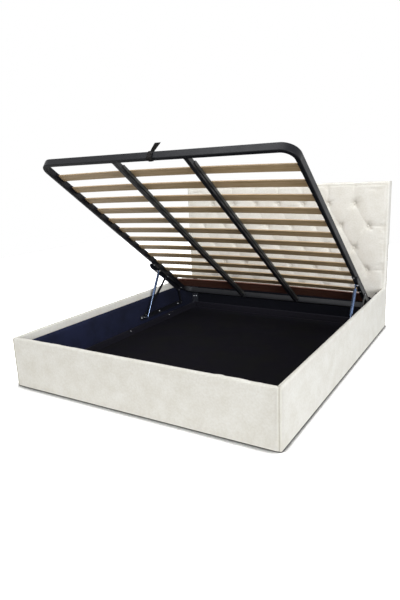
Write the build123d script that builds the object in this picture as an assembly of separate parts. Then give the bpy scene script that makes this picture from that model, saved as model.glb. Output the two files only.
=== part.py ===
from build123d import *
from math import atan2, cos, degrees, hypot, radians, sin, sqrt
import os

# An ottoman storage bed: an upholstered box with a tufted headboard, and a sprung slat
# platform that a pair of gas sprung linkages lifts at the foot end.
# Millimetres. The origin is at the middle of the bed's footprint, on the floor. +Y runs from
# the foot to the head, +X to the right of a person who stands at the foot and looks at the
# headboard, +Z up. The bed is modelled open, as it stands with its store uncovered.

# Box
bed_width = 1750.0
storage_length = 2026.0
panel_height = 315.0
board_thickness = 20.0
cover_outer = 5.0
cover_inner = 3.0
cover_crown = 10.0
cover_hem = 2.0
fold_depth = 53.0
corner_softness = 6.0

# Headboard
headboard_height = 1115.0
cushion_depth = 40.0
frame_depth = 35.0
frame_inset = 4.0
cushion_round = 22.0
tuft_pitch = 208.0
tuft_drop = 168.0
tuft_top_margin = 161.0
tuft_rows = 5
short_row_tuft_count = 7
fold_half_width = 30.0
fold_groove_depth = 9.0
fold_shoulder_shares = (0.62, 0.14)
fold_slope_shares = (0.26, 0.55)
dimple_radius = 34.0
dimple_depth = 19.0
button_radius = 11.0
button_thickness = 7.0
button_edge = 2.0

# Inside of the box
lining_thickness = 3.0
floor_height = 8.0
floor_thickness = 4.0
batten_height = 46.0
batten_thickness = 18.0
angle_leg = 40.0
angle_steel = 3.0
angle_bottom = 35.0
angle_length = 243.0
angle_screw_inset = 34.0
screw_head_radius = 5.0
screw_head_height = 2.4
screw_edge_share = 0.33
batten_screw_spacing = 530.0
batten_screw_share = 0.75

# Platform frame, in its own frame: s runs from the foot end to the head end, w up from the
# underside of the tube
platform_side_gap = 27.0
platform_foot_gap = 49.0
platform_head_gap = 59.0
platform_closed_height = 199.0
platform_open_angle = 35.86
tube_width = 24.0
tube_height = 44.0
tube_wall = 1.5
tube_edge = 4.0
ring_corner_radius = 84.0
bar_width = 26.0
bar_height = 30.0
bar_wall = 1.5
bar_edge = 2.5
bar_spacing = 470.0
cap_wall = 6.0
cap_roof = 4.0
cap_skirt = 14.0
cap_start = 85.0
fit_gap = 0.3

# Slats
slat_count = 12
first_slat = 174.0
slat_width = 60.0
slat_thickness = 8.0
slat_crown = 10.6
slat_edge = 2.0
head_slat_width = 150.0
head_slat_pitch = 58.4
holder_depth = 14.0
holder_wall = 3.0
holder_grip = 10.0

# Lift linkage, one on each side: places along the bed are measured back from the headboard's
# front, and places on the platform back from its head end
bracket_steel = 4.0
arm_steel = 5.0
arm_width = 22.0
arm_gap = 0.5
arm_crank = 5.0
arm_crank_share = 0.62
pin_radius = 5.0
pin_fit = 0.05
pin_head_radius = 8.0
pin_head_height = 3.0
rear_pivot_from_head = 248.6
rear_pivot_height = 108.0
front_pivot_from_head = 773.0
front_pivot_height = 125.0
gas_pivot_from_head = 793.0
lower_bracket_width = 38.0
lower_bracket_front = 71.0
lower_bracket_rear = 26.0
bracket_bolt_radius = 7.0
bracket_bolt_height = 3.0
bracket_bolt_shares = (0.0, 0.465, 1.0)
bracket_bolt_inset = 20.0
rear_joint_from_end = 89.0
front_joint_from_end = 330.0
gas_joint_from_end = 483.0
joint_drop = 16.0
gas_joint_drop = 17.0
upper_bracket_front = 103.0
upper_bracket_rear = 21.0
upper_bracket_drop = 30.0
upper_bracket_taper = 9.0
upper_screw_radius = 5.5
upper_screw_height = 3.0
upper_screw_inset = 20.0
upper_screw_rear_inset = 45.5

# Gas springs
gas_inset = 40.0
cylinder_radius = 11.0
cylinder_wall = 1.5
cylinder_length = 215.0
cylinder_neck = 26.0
rod_radius = 5.0
rod_fit = 0.05
rod_inside = 25.0
piston_length = 12.0
piston_gap = 0.1
eye_radius = 9.0
eye_thickness = 12.0
stud_radius = 4.0
stud_shoulder = 6.0
stud_head_radius = 6.5
stud_head_height = 2.0
stud_gap = 0.3

# Pull strap
strap_width = 30.0
strap_thickness = 2.0
strap_offset = 33.0
strap_tongue = 45.0
strap_knot = 9.0
strap_knot_round = 3.0

# One overrun serves all cuts
overrun = 10.0

# Places worked out from the sizes above
panel_thickness = cover_inner + board_thickness + cover_outer
headboard_depth = cushion_depth + frame_depth
bed_length = panel_thickness + storage_length + headboard_depth
foot_y = -bed_length / 2
inner_foot_y = foot_y + panel_thickness
head_y = inner_foot_y + storage_length
back_y = bed_length / 2
half_width = bed_width / 2
inner_x = half_width - panel_thickness
lining_top = panel_height - fold_depth
inner_head_y = head_y - lining_thickness
floor_top = floor_height + floor_thickness
platform_half = inner_x - platform_side_gap
platform_length = storage_length - platform_foot_gap - platform_head_gap
closed_foot_y = inner_foot_y + platform_foot_gap
tube_inner_x = platform_half - tube_width

# Layers of the linkage, from the rail's inner face towards the middle of the bed
lower_plate_x = inner_x - bracket_steel
arm_outer_x = lower_plate_x - arm_gap
arm_inner_x = arm_outer_x - arm_steel
upper_plate_outer_x = arm_inner_x - arm_gap
upper_plate_x = upper_plate_outer_x - bracket_steel
gas_x = inner_x - gas_inset

# A rod or neck starts inside its eye's ring, midway between the stud and the ring's outside
eye_root = (stud_radius + eye_radius) / 2

# Slat levels: the slats rest on the caps of the centre bars, and their ends lie lower
slat_half_span = tube_inner_x - holder_wall
slat_bow_radius = (slat_half_span**2 + slat_crown**2) / (2 * slat_crown)
cap_outer_x = bar_spacing / 2 + bar_width / 2 + cap_wall

# Slats stand at even steps between the first one and the wide head slat, which ends where the
# ring's corners begin
head_slat_end = platform_length - ring_corner_radius - holder_wall - 2 * fit_gap
head_slat_start = head_slat_end - head_slat_width
slat_pitch = (head_slat_start - head_slat_pitch - first_slat) / (slat_count - 1)
head_slat_middle = head_slat_start + head_slat_width / 2


def bow_drop(x):
    """How far a slat's underside lies below its crown at a distance x from the middle."""
    return slat_bow_radius - sqrt(slat_bow_radius**2 - x**2)


cap_top = bar_height + cap_roof
slat_crown_w = cap_top + fit_gap + bow_drop(cap_outer_x)
slat_end_w = slat_crown_w - slat_crown


def turned(point, angle):
    """A point of the YZ plane turned about X, with the angle in degrees."""
    y, z = point
    c, s = cos(radians(angle)), sin(radians(angle))
    return (c * y - s * z, s * y + c * z)


def apart(p, q):
    """Distance between two points of the YZ plane."""
    return hypot(p[0] - q[0], p[1] - q[1])


# Fixed pivots of the linkage, as (y, z)
rear_pivot = (head_y - rear_pivot_from_head, rear_pivot_height)
front_pivot = (head_y - front_pivot_from_head, front_pivot_height)
gas_pivot = (head_y - gas_pivot_from_head, rear_pivot_height)
bracket_bar_ends = (front_pivot[0] - lower_bracket_front, rear_pivot[0] + lower_bracket_rear)

# Pivots on the platform, as (s, w)
rear_joint = (platform_length - rear_joint_from_end, -joint_drop)
front_joint = (platform_length - front_joint_from_end, -joint_drop)
gas_joint = (platform_length - gas_joint_from_end, -gas_joint_drop)


def when_closed(place):
    """A platform place (s, w) as (y, z) with the platform down."""
    return (closed_foot_y + place[0], platform_closed_height + place[1])


# The arms' lengths come from the closed bed, where the platform lies level
rear_arm_length = apart(rear_pivot, when_closed(rear_joint))
front_arm_length = apart(front_pivot, when_closed(front_joint))


def open_rear_joint():
    """Where the rear joint lies as (y, z) with the platform up, on both arms' circles."""
    offset = turned((front_joint[0] - rear_joint[0], 0), -platform_open_angle)
    centre = (front_pivot[0] - offset[0], front_pivot[1] - offset[1])
    span = apart(centre, rear_pivot)
    along = (front_arm_length**2 - rear_arm_length**2 + span**2) / (2 * span)
    across = sqrt(front_arm_length**2 - along**2)
    u = ((rear_pivot[0] - centre[0]) / span, (rear_pivot[1] - centre[1]) / span)
    return (centre[0] + along * u[0] - across * u[1], centre[1] + along * u[1] + across * u[0])


rear_joint_open = open_rear_joint()


def when_open(place):
    """A platform place (s, w) as (y, z) with the platform up."""
    y, z = turned((place[0] - rear_joint[0], place[1] - rear_joint[1]), -platform_open_angle)
    return (rear_joint_open[0] + y, rear_joint_open[1] + z)


platform_origin = when_open((0, 0))
platform_place = Location((0, *platform_origin), (-platform_open_angle, 0, 0))
front_joint_open = when_open(front_joint)
gas_joint_open = when_open(gas_joint)
gas_open_length = apart(gas_pivot, gas_joint_open)
gas_open_angle = degrees(atan2(gas_joint_open[1] - gas_pivot[1], gas_joint_open[0] - gas_pivot[0]))


def box(x0, x1, y0, y1, z0, z1):
    """A box between its limits on each axis."""
    return Pos((x0 + x1) / 2, (y0 + y1) / 2, (z0 + z1) / 2) * Box(x1 - x0, y1 - y0, z1 - z0)


def side_plane(x):
    """The plane at x whose own axes are Y and Z, and whose normal is +X."""
    return Plane(origin=(x, 0, 0), x_dir=(0, 1, 0), z_dir=(1, 0, 0))


def cross_plane(y):
    """The plane at y whose own axes are X and Z, and whose normal is -Y."""
    return Plane(origin=(0, y, 0), x_dir=(1, 0, 0), z_dir=(0, -1, 0))


def mirrored(part):
    """The part on the other side of the bed."""
    return mirror(part, about=Plane.YZ)


def across_x(outline, x0, x1):
    """An outline of the YZ plane carried along X from x0 to x1."""
    return extrude(side_plane(x0) * outline, x1 - x0, dir=(1, 0, 0))


def rod_x(place, x0, x1, radius):
    """A round bar along X between x0 and x1, at the place (y, z)."""
    return across_x(Pos(*place) * Circle(radius), x0, x1)


# Upholstered panels


def cover_section():
    """Section of a panel cover: t out from the inner face, z up, over the board and its fold."""
    radius = panel_thickness / 2
    body_top = panel_height - radius
    outline = Pos(radius, (cover_hem + body_top) / 2) * Rectangle(panel_thickness, body_top - cover_hem)
    outline += Pos(radius, body_top) * Circle(radius)
    board_top = panel_height - cover_crown
    hollow = Pos(cover_inner + board_thickness / 2, (board_top - overrun) / 2)
    outline -= hollow * Rectangle(board_thickness, board_top + overrun)
    inside = Pos(cover_inner / 2, (lining_top - overrun) / 2)
    return outline - inside * Rectangle(cover_inner, lining_top + overrun)


def rail_plan(inset, outset):
    """Plan of a right rail layer, mitred at the foot, between two depths from its inner face."""
    return Polygon(
        (inner_x + inset, inner_foot_y - inset),
        (inner_x + outset, inner_foot_y - outset),
        (inner_x + outset, head_y),
        (inner_x + inset, head_y),
        align=None,
    )


def foot_plan(inset, outset):
    """Plan of a footboard layer, mitred at both ends."""
    return Polygon(
        (-inner_x - inset, inner_foot_y - inset),
        (-inner_x - outset, inner_foot_y - outset),
        (inner_x + outset, inner_foot_y - outset),
        (inner_x + inset, inner_foot_y - inset),
        align=None,
    )


def softened(plan):
    """A plan with its outer corners rounded, as padding rounds them."""
    outer = [v for v in plan.vertices() if abs(v.Y - foot_y) < corner_softness]
    return fillet(outer, corner_softness)


def rail_cover():
    length = head_y - foot_y
    bar = extrude(cross_plane(head_y) * Pos(inner_x, 0) * cover_section(), length)
    return bar & extrude(softened(rail_plan(0, panel_thickness)), panel_height)


def rail_board():
    plan = rail_plan(cover_inner, cover_inner + board_thickness)
    return extrude(plan, panel_height - cover_crown)


def foot_cover():
    across = Plane(origin=(-half_width, inner_foot_y, 0), x_dir=(0, -1, 0), z_dir=(1, 0, 0))
    section = across * mirror(cover_section(), about=Plane.XZ)
    bar = extrude(section, bed_width)
    return bar & extrude(softened(foot_plan(0, panel_thickness)), panel_height)


def foot_board():
    plan = foot_plan(cover_inner, cover_inner + board_thickness)
    return extrude(plan, panel_height - cover_crown)


# Headboard


def tuft_z(row):
    return headboard_height - tuft_top_margin - row * tuft_drop


def tufts_in_row(row):
    return short_row_tuft_count + row % 2


def tuft_x(row, place):
    return (place - (tufts_in_row(row) - 1) / 2) * tuft_pitch


def tuft_points():
    """Every button's (x, z), in rows that stand half a pitch apart."""
    return [(tuft_x(r, i), tuft_z(r)) for r in range(tuft_rows) for i in range(tufts_in_row(r))]


def groove(start, end):
    """The sewn fold between two points of the headboard's front: a valley with soft shoulders."""
    w, d = fold_half_width, fold_groove_depth
    shoulder = (w * fold_shoulder_shares[0], d * fold_shoulder_shares[1])
    slope = (w * fold_slope_shares[0], d * fold_slope_shares[1])
    valley = [(w, -overrun), (w, 0), shoulder, slope, (0, d)]
    points = valley + [(-x, y) for x, y in reversed(valley[:-1])]
    run = Vector(end[0] - start[0], 0, end[1] - start[1])
    across = Vector(0, 1, 0).cross(run).normalized()
    plane = Plane(origin=(start[0], head_y, start[1]), x_dir=across, z_dir=run.normalized())
    if plane.y_dir.Y < 0:
        points = [(x, -y) for x, y in points]
    return extrude(plane * Polygon(*points, align=None), run.length, dir=run.normalized())


def diagonal(start_row, start_x, step):
    """The last button that a straight diagonal from a button reaches, going down by rows."""
    x, row = start_x, start_row
    while row + 1 < tuft_rows and abs(x + step) <= tuft_x(row + 1, tufts_in_row(row + 1) - 1) + fit_gap:
        x += step
        row += 1
    return (x, tuft_z(row))


def folds():
    """All the sewn folds: diagonals both ways, creases to the top edge and to the sides."""
    cuts = []
    for side in (1, -1):
        step = side * tuft_pitch / 2
        starts = [(0, tuft_x(0, i)) for i in range(tufts_in_row(0))]
        starts += [(row, -side * tuft_x(row, tufts_in_row(row) - 1)) for row in range(1, tuft_rows, 2)]
        for row, x in starts:
            end = diagonal(row, x, step)
            if end[1] < tuft_z(row):
                cuts.append(groove((x, tuft_z(row)), end))
        for row in range(1, tuft_rows, 2):
            edge = side * tuft_x(row, tufts_in_row(row) - 1)
            cuts.append(groove((edge, tuft_z(row)), (side * (half_width + overrun), tuft_z(row))))
    for i in range(tufts_in_row(0)):
        cuts.append(groove((tuft_x(0, i), tuft_z(0)), (tuft_x(0, i), headboard_height + overrun)))
    return cuts


def dimple(place):
    """The hollow that a button pulls into the padding."""
    x, z = place
    cone = Cone(0, dimple_radius, dimple_depth, align=(Align.CENTER, Align.CENTER, Align.MIN))
    return Location((x, head_y + dimple_depth, z), (90, 0, 0)) * cone


def headboard_cushion():
    pad = box(-half_width, half_width, head_y, head_y + cushion_depth, cover_hem, headboard_height)
    front = pad.faces().sort_by(Axis.Y)[0]
    pad = fillet(front.edges(), cushion_round)
    for cut in folds():
        pad -= cut
    for place in tuft_points():
        pad -= dimple(place)
    return pad


def headboard_buttons():
    """Fabric covered buttons, each seated where its back edge meets the dimple's wall."""
    seat = dimple_depth * (1 - (button_radius - button_edge) / dimple_radius) - fit_gap
    made = []
    for x, z in tuft_points():
        disc = Cylinder(button_radius, button_thickness)
        disc = chamfer(disc.edges(), button_edge)
        made.append(Location((x, head_y + seat - button_thickness / 2, z), (90, 0, 0)) * disc)
    return Compound(made)


def headboard_frame():
    half = half_width - frame_inset
    return box(-half, half, head_y + cushion_depth, back_y, 0, headboard_height - frame_inset)


# Inside of the box


def lining_side():
    return box(inner_x, inner_x + lining_thickness, inner_foot_y, head_y, floor_top, lining_top)


def lining_foot():
    return box(-inner_x, inner_x, inner_foot_y - lining_thickness, inner_foot_y, floor_top, lining_top)


def lining_head():
    return box(-inner_x, inner_x, head_y - lining_thickness, head_y, floor_top, lining_top)


def storage_floor():
    return box(-inner_x, inner_x, inner_foot_y, head_y, floor_height, floor_top)


def batten_side():
    top = floor_top + batten_height
    return box(inner_x - batten_thickness, inner_x, inner_foot_y, inner_head_y, floor_top, top)


def batten_end(y0):
    half = inner_x - batten_thickness
    return box(-half, half, y0, y0 + batten_thickness, floor_top, floor_top + batten_height)


def screw_head(place, direction):
    """A round screw head that sits on a face at place and stands out along direction."""
    plane = Plane(origin=place, z_dir=direction)
    head = extrude(plane * Circle(screw_head_radius), screw_head_height)
    rim = head.faces().sort_by(Axis(place, direction))[-1].edges()
    return chamfer(rim, screw_head_height * screw_edge_share)


def corner_angle_right(y_corner, towards):
    """A steel angle in a corner on the right: one leg on the rail, one on the end panel."""
    top = angle_bottom + angle_length
    ys = sorted((y_corner, y_corner + towards * angle_leg))
    es = sorted((y_corner, y_corner + towards * angle_steel))
    rail_leg = box(inner_x - angle_steel, inner_x, *ys, angle_bottom, top)
    end_leg = box(inner_x - angle_leg, inner_x, *es, angle_bottom, top)
    relief = box(inner_x - batten_thickness, inner_x, *ys, angle_bottom, floor_top + batten_height)
    end_relief = box(
        inner_x - angle_leg, inner_x, *sorted((y_corner, y_corner + towards * batten_thickness)),
        angle_bottom, floor_top + batten_height,
    )
    return rail_leg + end_leg - relief - end_relief


def corner_angles():
    right = [corner_angle_right(inner_foot_y, 1), corner_angle_right(inner_head_y, -1)]
    return Compound(right + [mirrored(a) for a in right])


def corner_screws():
    """Two screws through each leg of each corner angle."""
    right = []
    low = angle_bottom + angle_screw_inset + batten_height
    levels = (low, angle_bottom + angle_length - angle_screw_inset)
    for y_corner, towards in ((inner_foot_y, 1), (inner_head_y, -1)):
        mid = (angle_leg + angle_steel) / 2
        for z in levels:
            right.append(screw_head((inner_x - angle_steel, y_corner + towards * mid, z), (-1, 0, 0)))
            right.append(screw_head((inner_x - mid, y_corner + towards * angle_steel, z), (0, towards, 0)))
    return Compound(right + [mirrored(s) for s in right])


def batten_screws():
    """Round headed screws through the side battens into the rails."""
    z = floor_top + batten_height * batten_screw_share
    x = inner_x - batten_thickness
    right = [screw_head((x, i * batten_screw_spacing, z), (-1, 0, 0)) for i in (-1, 0, 1)]
    return Compound(right + [mirrored(s) for s in right])


# Lift linkage


def stadium(p, q, width):
    """A bar's outline between two points of the YZ plane, with round ends."""
    middle = Pos((p[0] + q[0]) / 2, (p[1] + q[1]) / 2)
    turn = Rot(0, 0, degrees(atan2(q[1] - p[1], q[0] - p[0])))
    return middle * turn * SlotCenterToCenter(apart(p, q), width)


def hole(place, radius):
    return Pos(*place) * Circle(radius)


def lower_bracket():
    """The flat bar that is bolted to the rail, with an ear for the front arm."""
    front, rear = bracket_bar_ends
    radius = lower_bracket_width / 2
    level = rear_pivot_height
    outline = stadium((front + radius, level), (rear - radius, level), lower_bracket_width)
    outline += stadium((front_pivot[0], level), front_pivot, lower_bracket_width)
    for place in (front_pivot, rear_pivot):
        outline -= hole(place, pin_radius)
    outline -= hole(gas_pivot, stud_radius)
    return across_x(outline, lower_plate_x, inner_x)


def bracket_bolts():
    """Round headed bolts that hold the lower brackets to the rails."""
    front, rear = bracket_bar_ends
    first, last = front + bracket_bolt_inset, rear_pivot[0] - bracket_bolt_inset - lower_bracket_rear
    right = []
    for share in bracket_bolt_shares:
        place = (first + share * (last - first), rear_pivot_height)
        head = rod_x(place, lower_plate_x - bracket_bolt_height, lower_plate_x, bracket_bolt_radius)
        rim = head.faces().sort_by(Axis.X)[0].edges()
        right.append(chamfer(rim, bracket_bolt_height * screw_edge_share))
    return Compound(right + [mirrored(b) for b in right])


def lower_pins():
    """Shouldered pins, riveted in the lower brackets, that the arms turn on."""
    right = []
    head = arm_inner_x - arm_gap / 2
    for place in (rear_pivot, front_pivot):
        pin = rod_x(place, head, inner_x, pin_radius)
        pin += rod_x(place, head - pin_head_height, head, pin_head_radius)
        right.append(pin)
    return Compound(right + [mirrored(p) for p in right])


def rear_arm():
    outline = stadium(rear_pivot, rear_joint_open, arm_width)
    for place in (rear_pivot, rear_joint_open):
        outline -= hole(place, pin_radius + pin_fit)
    return across_x(outline, arm_inner_x, arm_outer_x)


def front_arm():
    """The long arm, slightly cranked towards its upper end."""
    run = (front_joint_open[0] - front_pivot[0], front_joint_open[1] - front_pivot[1])
    out = (-run[1] / front_arm_length * arm_crank, run[0] / front_arm_length * arm_crank)
    knee = (
        front_pivot[0] + run[0] * arm_crank_share - out[0],
        front_pivot[1] + run[1] * arm_crank_share - out[1],
    )
    outline = stadium(front_pivot, knee, arm_width) + stadium(knee, front_joint_open, arm_width)
    outline -= hole(front_pivot, pin_radius + pin_fit)
    outline -= hole(front_joint_open, pin_radius)
    return across_x(outline, arm_inner_x, arm_outer_x)


def front_arm_pins():
    """The half of each front upper rivet that turns with the arm."""
    pin = rod_x(front_joint_open, arm_inner_x - arm_gap / 2, arm_outer_x, pin_radius)
    return Compound([pin, mirrored(pin)])


# Gas springs, drawn along Z from the lower eye and then laid along the open spring


gas_frame = Location((gas_x, *gas_pivot), (gas_open_angle - 90, 0, 0))


def eye():
    """A spring's end eye, round the X axis."""
    ring = Rot(0, 90, 0) * Cylinder(eye_radius, eye_thickness)
    return ring - Rot(0, 90, 0) * Cylinder(stud_radius + pin_fit, eye_thickness + overrun)


def post(radius, start, end):
    """A round bar along Z between two heights."""
    return Pos(0, 0, (start + end) / 2) * Cylinder(radius, end - start)


def gas_rod():
    """Polished rod with its lower eye, and the piston inside the cylinder."""
    end = gas_open_length - cylinder_length + rod_inside
    rod = post(rod_radius, eye_root, end - piston_length)
    piston = post(cylinder_radius - cylinder_wall - piston_gap, end - piston_length, end)
    return gas_frame * (eye() + rod + piston)


def gas_cylinder():
    """Painted tube with its bore, a guide round the rod below, a neck and an eye above."""
    bottom = gas_open_length - cylinder_length
    top = gas_open_length - cylinder_neck
    guide = bottom + cylinder_radius
    tube = post(cylinder_radius, bottom, top)
    tube = chamfer(tube.edges().filter_by(GeomType.CIRCLE), cylinder_wall)
    tube -= post(cylinder_radius - cylinder_wall, guide, top - cylinder_wall)
    tube -= post(rod_radius + rod_fit, bottom - overrun, guide + overrun)
    neck = post(rod_radius, top - cylinder_wall / 2, gas_open_length - eye_root)
    return gas_frame * (tube + neck + Pos(0, 0, gas_open_length) * eye())


def gas_stud(place, shoulder_end, shank_end):
    """A stud through a spring's eye, with a shoulder on the plate's side and a head beyond."""
    shoulder = gas_x + eye_thickness / 2 + stud_gap
    head = gas_x - eye_thickness / 2 - stud_gap
    stud = rod_x(place, head, shank_end, stud_radius)
    stud += rod_x(place, shoulder, shoulder_end, stud_shoulder)
    return stud + rod_x(place, head - stud_head_height, head, stud_head_radius)


def lower_studs():
    """Studs riveted in the lower brackets."""
    stud = gas_stud(gas_pivot, lower_plate_x, inner_x)
    return Compound([stud, mirrored(stud)])


def upper_studs():
    """Studs that turn with the cylinders, and end just short of the upper brackets."""
    end = upper_plate_x - stud_gap
    stud = gas_stud(gas_joint_open, end, end)
    return Compound([stud, mirrored(stud)])


# Platform, drawn in its own frame and then placed


def rounded_frame(inset, bottom, top):
    """The solid that fills the ring's outline, drawn in by an inset, between two levels."""
    width = 2 * (platform_half - inset)
    length = platform_length - 2 * inset
    outline = RectangleRounded(width, length, ring_corner_radius - inset)
    return extrude(Pos(0, platform_length / 2, bottom) * outline, top - bottom)


def platform_ring():
    """One steel tube, bent round at four corners, with its hollow."""
    ring = rounded_frame(0, 0, tube_height) - rounded_frame(tube_width, 0, tube_height)
    middle = tube_height / 2
    rims = ring.edges().filter_by(lambda e: abs(e.center().Z - middle) > middle - tube_edge)
    ring = fillet(rims, tube_edge)
    hollow = rounded_frame(tube_wall, tube_wall, tube_height - tube_wall)
    hollow -= rounded_frame(tube_width - tube_wall, tube_wall, tube_height - tube_wall)
    return ring - hollow


def centre_bar():
    """A rectangular steel tube from the foot tube to the head tube, on the right."""
    length = platform_length - 2 * tube_width
    section = RectangleRounded(bar_width, bar_height, bar_edge)
    section -= Rectangle(bar_width - 2 * bar_wall, bar_height - 2 * bar_wall)
    along = Plane(origin=(bar_spacing / 2, tube_width, bar_height / 2), x_dir=(-1, 0, 0), z_dir=(0, 1, 0))
    return extrude(along * section, length)


def bar_cap():
    """The channel over a centre bar's top that the slats rest on."""
    x0, x1 = bar_spacing / 2 - bar_width / 2, bar_spacing / 2 + bar_width / 2
    end = platform_length - tube_width
    skirt = bar_height - cap_skirt
    outer = box(x0 - cap_wall, x1 + cap_wall, cap_start, end, skirt, cap_top)
    edges = outer.edges().filter_by(Axis.Y).sort_by(Axis.Z)[-2:]
    outer = fillet(edges, cap_roof / 2)
    ends = (cap_start - overrun, end + overrun)
    return outer - box(x0 - fit_gap, x1 + fit_gap, *ends, skirt - overrun, bar_height)


def bowed_slat(middle, width):
    """A sprung slat: a strip bowed upwards across the bed, at its place s along it."""
    half = slat_half_span
    level = slat_end_w + slat_thickness / 2
    bow = ThreePointArc((-half, middle, level), (0, middle, level + slat_crown), (half, middle, level))
    start = Plane(origin=bow @ 0, x_dir=(0, 1, 0), z_dir=bow % 0)
    return sweep(start * RectangleRounded(width, slat_thickness, slat_edge), bow)


def slat_place(index):
    return first_slat + index * slat_pitch


def slat_holder(middle, width):
    """The plastic socket on the right side tube that a slat's end is plugged into."""
    x0, x1 = tube_inner_x - holder_depth, tube_inner_x
    half = width / 2 + fit_gap + holder_wall
    low = slat_end_w - holder_wall
    rise = bow_drop(slat_half_span) - bow_drop(slat_half_span - holder_grip)
    high = slat_end_w + rise + slat_thickness + fit_gap + holder_wall
    body = box(x0, x1, middle - half, middle + half, low, high)
    slot_x = tube_inner_x - holder_wall + fit_gap
    slot = box(
        x0 - overrun, slot_x, middle - width / 2 - fit_gap, middle + width / 2 + fit_gap,
        slat_end_w - fit_gap, high - holder_wall,
    )
    mouth = box(
        x0 - overrun, tube_inner_x - holder_grip, middle - half + 2 * holder_wall,
        middle + half - 2 * holder_wall, low - overrun, high + overrun,
    )
    return body - slot - mouth


def slat_holders():
    right = [slat_holder(slat_place(i), slat_width) for i in range(slat_count)]
    right.append(slat_holder(head_slat_middle, head_slat_width))
    return Compound(right + [mirrored(h) for h in right])


def upper_bracket():
    """The angle under the right side tube: one leg under the tube, one down beside the arms."""
    s0 = gas_joint[0] - upper_bracket_front
    s1 = rear_joint[0] + upper_bracket_rear
    drop = upper_bracket_drop
    taper = upper_bracket_taper
    leg = Polygon(
        (s0, 0),
        (s1, 0),
        (s1, taper - drop),
        (s1 - taper, -drop),
        (s0 + drop, -drop),
        (s0, taper - drop),
        align=None,
    )
    leg -= hole(rear_joint, pin_radius)
    leg -= hole(front_joint, pin_radius)
    upright = across_x(leg, upper_plate_x, upper_plate_outer_x)
    flange = box(tube_inner_x, upper_plate_outer_x, s0, s1, -bracket_steel, 0)
    return upright + flange


def upper_screws():
    """Screws from below through each upper bracket into the side tube."""
    s0 = gas_joint[0] - upper_bracket_front + upper_screw_inset
    s1 = rear_joint[0] + upper_bracket_rear - upper_screw_rear_inset
    x = (tube_inner_x + platform_half) / 2
    w = -bracket_steel - upper_screw_height / 2
    right = []
    for s in (s0, (s0 + s1) / 2, s1):
        head = Pos(x, s, w) * Cylinder(upper_screw_radius, upper_screw_height)
        rim = head.faces().sort_by(Axis.Z)[0].edges()
        right.append(chamfer(rim, upper_screw_height * screw_edge_share))
    return Compound(right + [mirrored(s) for s in right])


def upper_pins():
    """Rear pins that the rear arms turn on, and the fixed halves of the front rivets."""
    right = []
    for place, end in ((rear_joint, arm_outer_x), (front_joint, upper_plate_outer_x)):
        pin = rod_x(place, upper_plate_x, end, pin_radius)
        pin += rod_x(place, upper_plate_x - pin_head_height, upper_plate_x, pin_head_radius)
        right.append(pin)
    return Compound(right + [mirrored(p) for p in right])


def pull_strap():
    """Webbing looped round the foot tube, with a tongue that stands above it."""
    gap, t = fit_gap, strap_thickness
    s0, s1, w0, w1 = -gap, tube_width + gap, -gap, tube_height + gap
    centre = Pos((s0 + s1) / 2, (w0 + w1) / 2)
    loop = centre * RectangleRounded(s1 - s0 + 2 * t, w1 - w0 + 2 * t, tube_edge + t)
    loop -= centre * RectangleRounded(s1 - s0, w1 - w0, tube_edge)
    x0 = strap_offset - strap_width / 2
    ring = across_x(loop, x0, x0 + strap_width)
    knot = box(x0, x0 + strap_width, s0 + t, s0 + t + strap_knot, w0 - t - strap_knot, w0 - t)
    knot = fillet(knot.edges().filter_by(Axis.X), strap_knot_round)
    base = Vector((s0 + s1) / 2, w1 + t / 2)
    up = Vector(*turned((0, 1), platform_open_angle))
    side = Vector(up.Y, -up.X) * t
    tip = base + up * strap_tongue
    tongue = Polygon(*[(p.X, p.Y) for p in (base - side, base + side, tip + side, tip - side)], align=None)
    return ring + knot + across_x(tongue, x0, x0 + strap_width)


root_nodes = {
    "footboard_board": foot_board(),
    "footboard_cover": foot_cover(),
    "side_rail_left_board": mirrored(rail_board()),
    "side_rail_left_cover": mirrored(rail_cover()),
    "side_rail_right_board": rail_board(),
    "side_rail_right_cover": rail_cover(),
    "headboard_frame": headboard_frame(),
    "headboard_cushion": headboard_cushion(),
    "headboard_buttons": headboard_buttons(),
    "lining_foot": lining_foot(),
    "lining_left": mirrored(lining_side()),
    "lining_right": lining_side(),
    "lining_head": lining_head(),
    "storage_floor": storage_floor(),
    "batten_left": mirrored(batten_side()),
    "batten_right": batten_side(),
    "batten_foot": batten_end(inner_foot_y),
    "batten_head": batten_end(inner_head_y - batten_thickness),
    "batten_screws": batten_screws(),
    "corner_angles": corner_angles(),
    "corner_screws": corner_screws(),
    "lower_bracket_left": mirrored(lower_bracket()),
    "lower_bracket_right": lower_bracket(),
    "bracket_bolts": bracket_bolts(),
    "lower_pivot_pins": lower_pins(),
    "gas_lower_studs": lower_studs(),
}

linkage_nodes = {
    "rear_arm_left": mirrored(rear_arm()),
    "rear_arm_right": rear_arm(),
    "front_arm_left": mirrored(front_arm()),
    "front_arm_right": front_arm(),
    "front_arm_pins": front_arm_pins(),
    "gas_rod_left": mirrored(gas_rod()),
    "gas_rod_right": gas_rod(),
    "gas_cylinder_left": mirrored(gas_cylinder()),
    "gas_cylinder_right": gas_cylinder(),
    "gas_upper_studs": upper_studs(),
}

platform_nodes = {
    "platform_ring": platform_ring(),
    "centre_bar_left": mirrored(centre_bar()),
    "centre_bar_right": centre_bar(),
    "bar_cap_left": mirrored(bar_cap()),
    "bar_cap_right": bar_cap(),
    "head_slat": bowed_slat(head_slat_middle, head_slat_width),
    "slat_holders": slat_holders(),
    "upper_bracket_left": mirrored(upper_bracket()),
    "upper_bracket_right": upper_bracket(),
    "upper_bracket_screws": upper_screws(),
    "upper_pivot_pins": upper_pins(),
    "pull_strap": pull_strap(),
}
for number in range(slat_count):
    platform_nodes[f"slat_{number + 1:02d}"] = bowed_slat(slat_place(number), slat_width)

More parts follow.
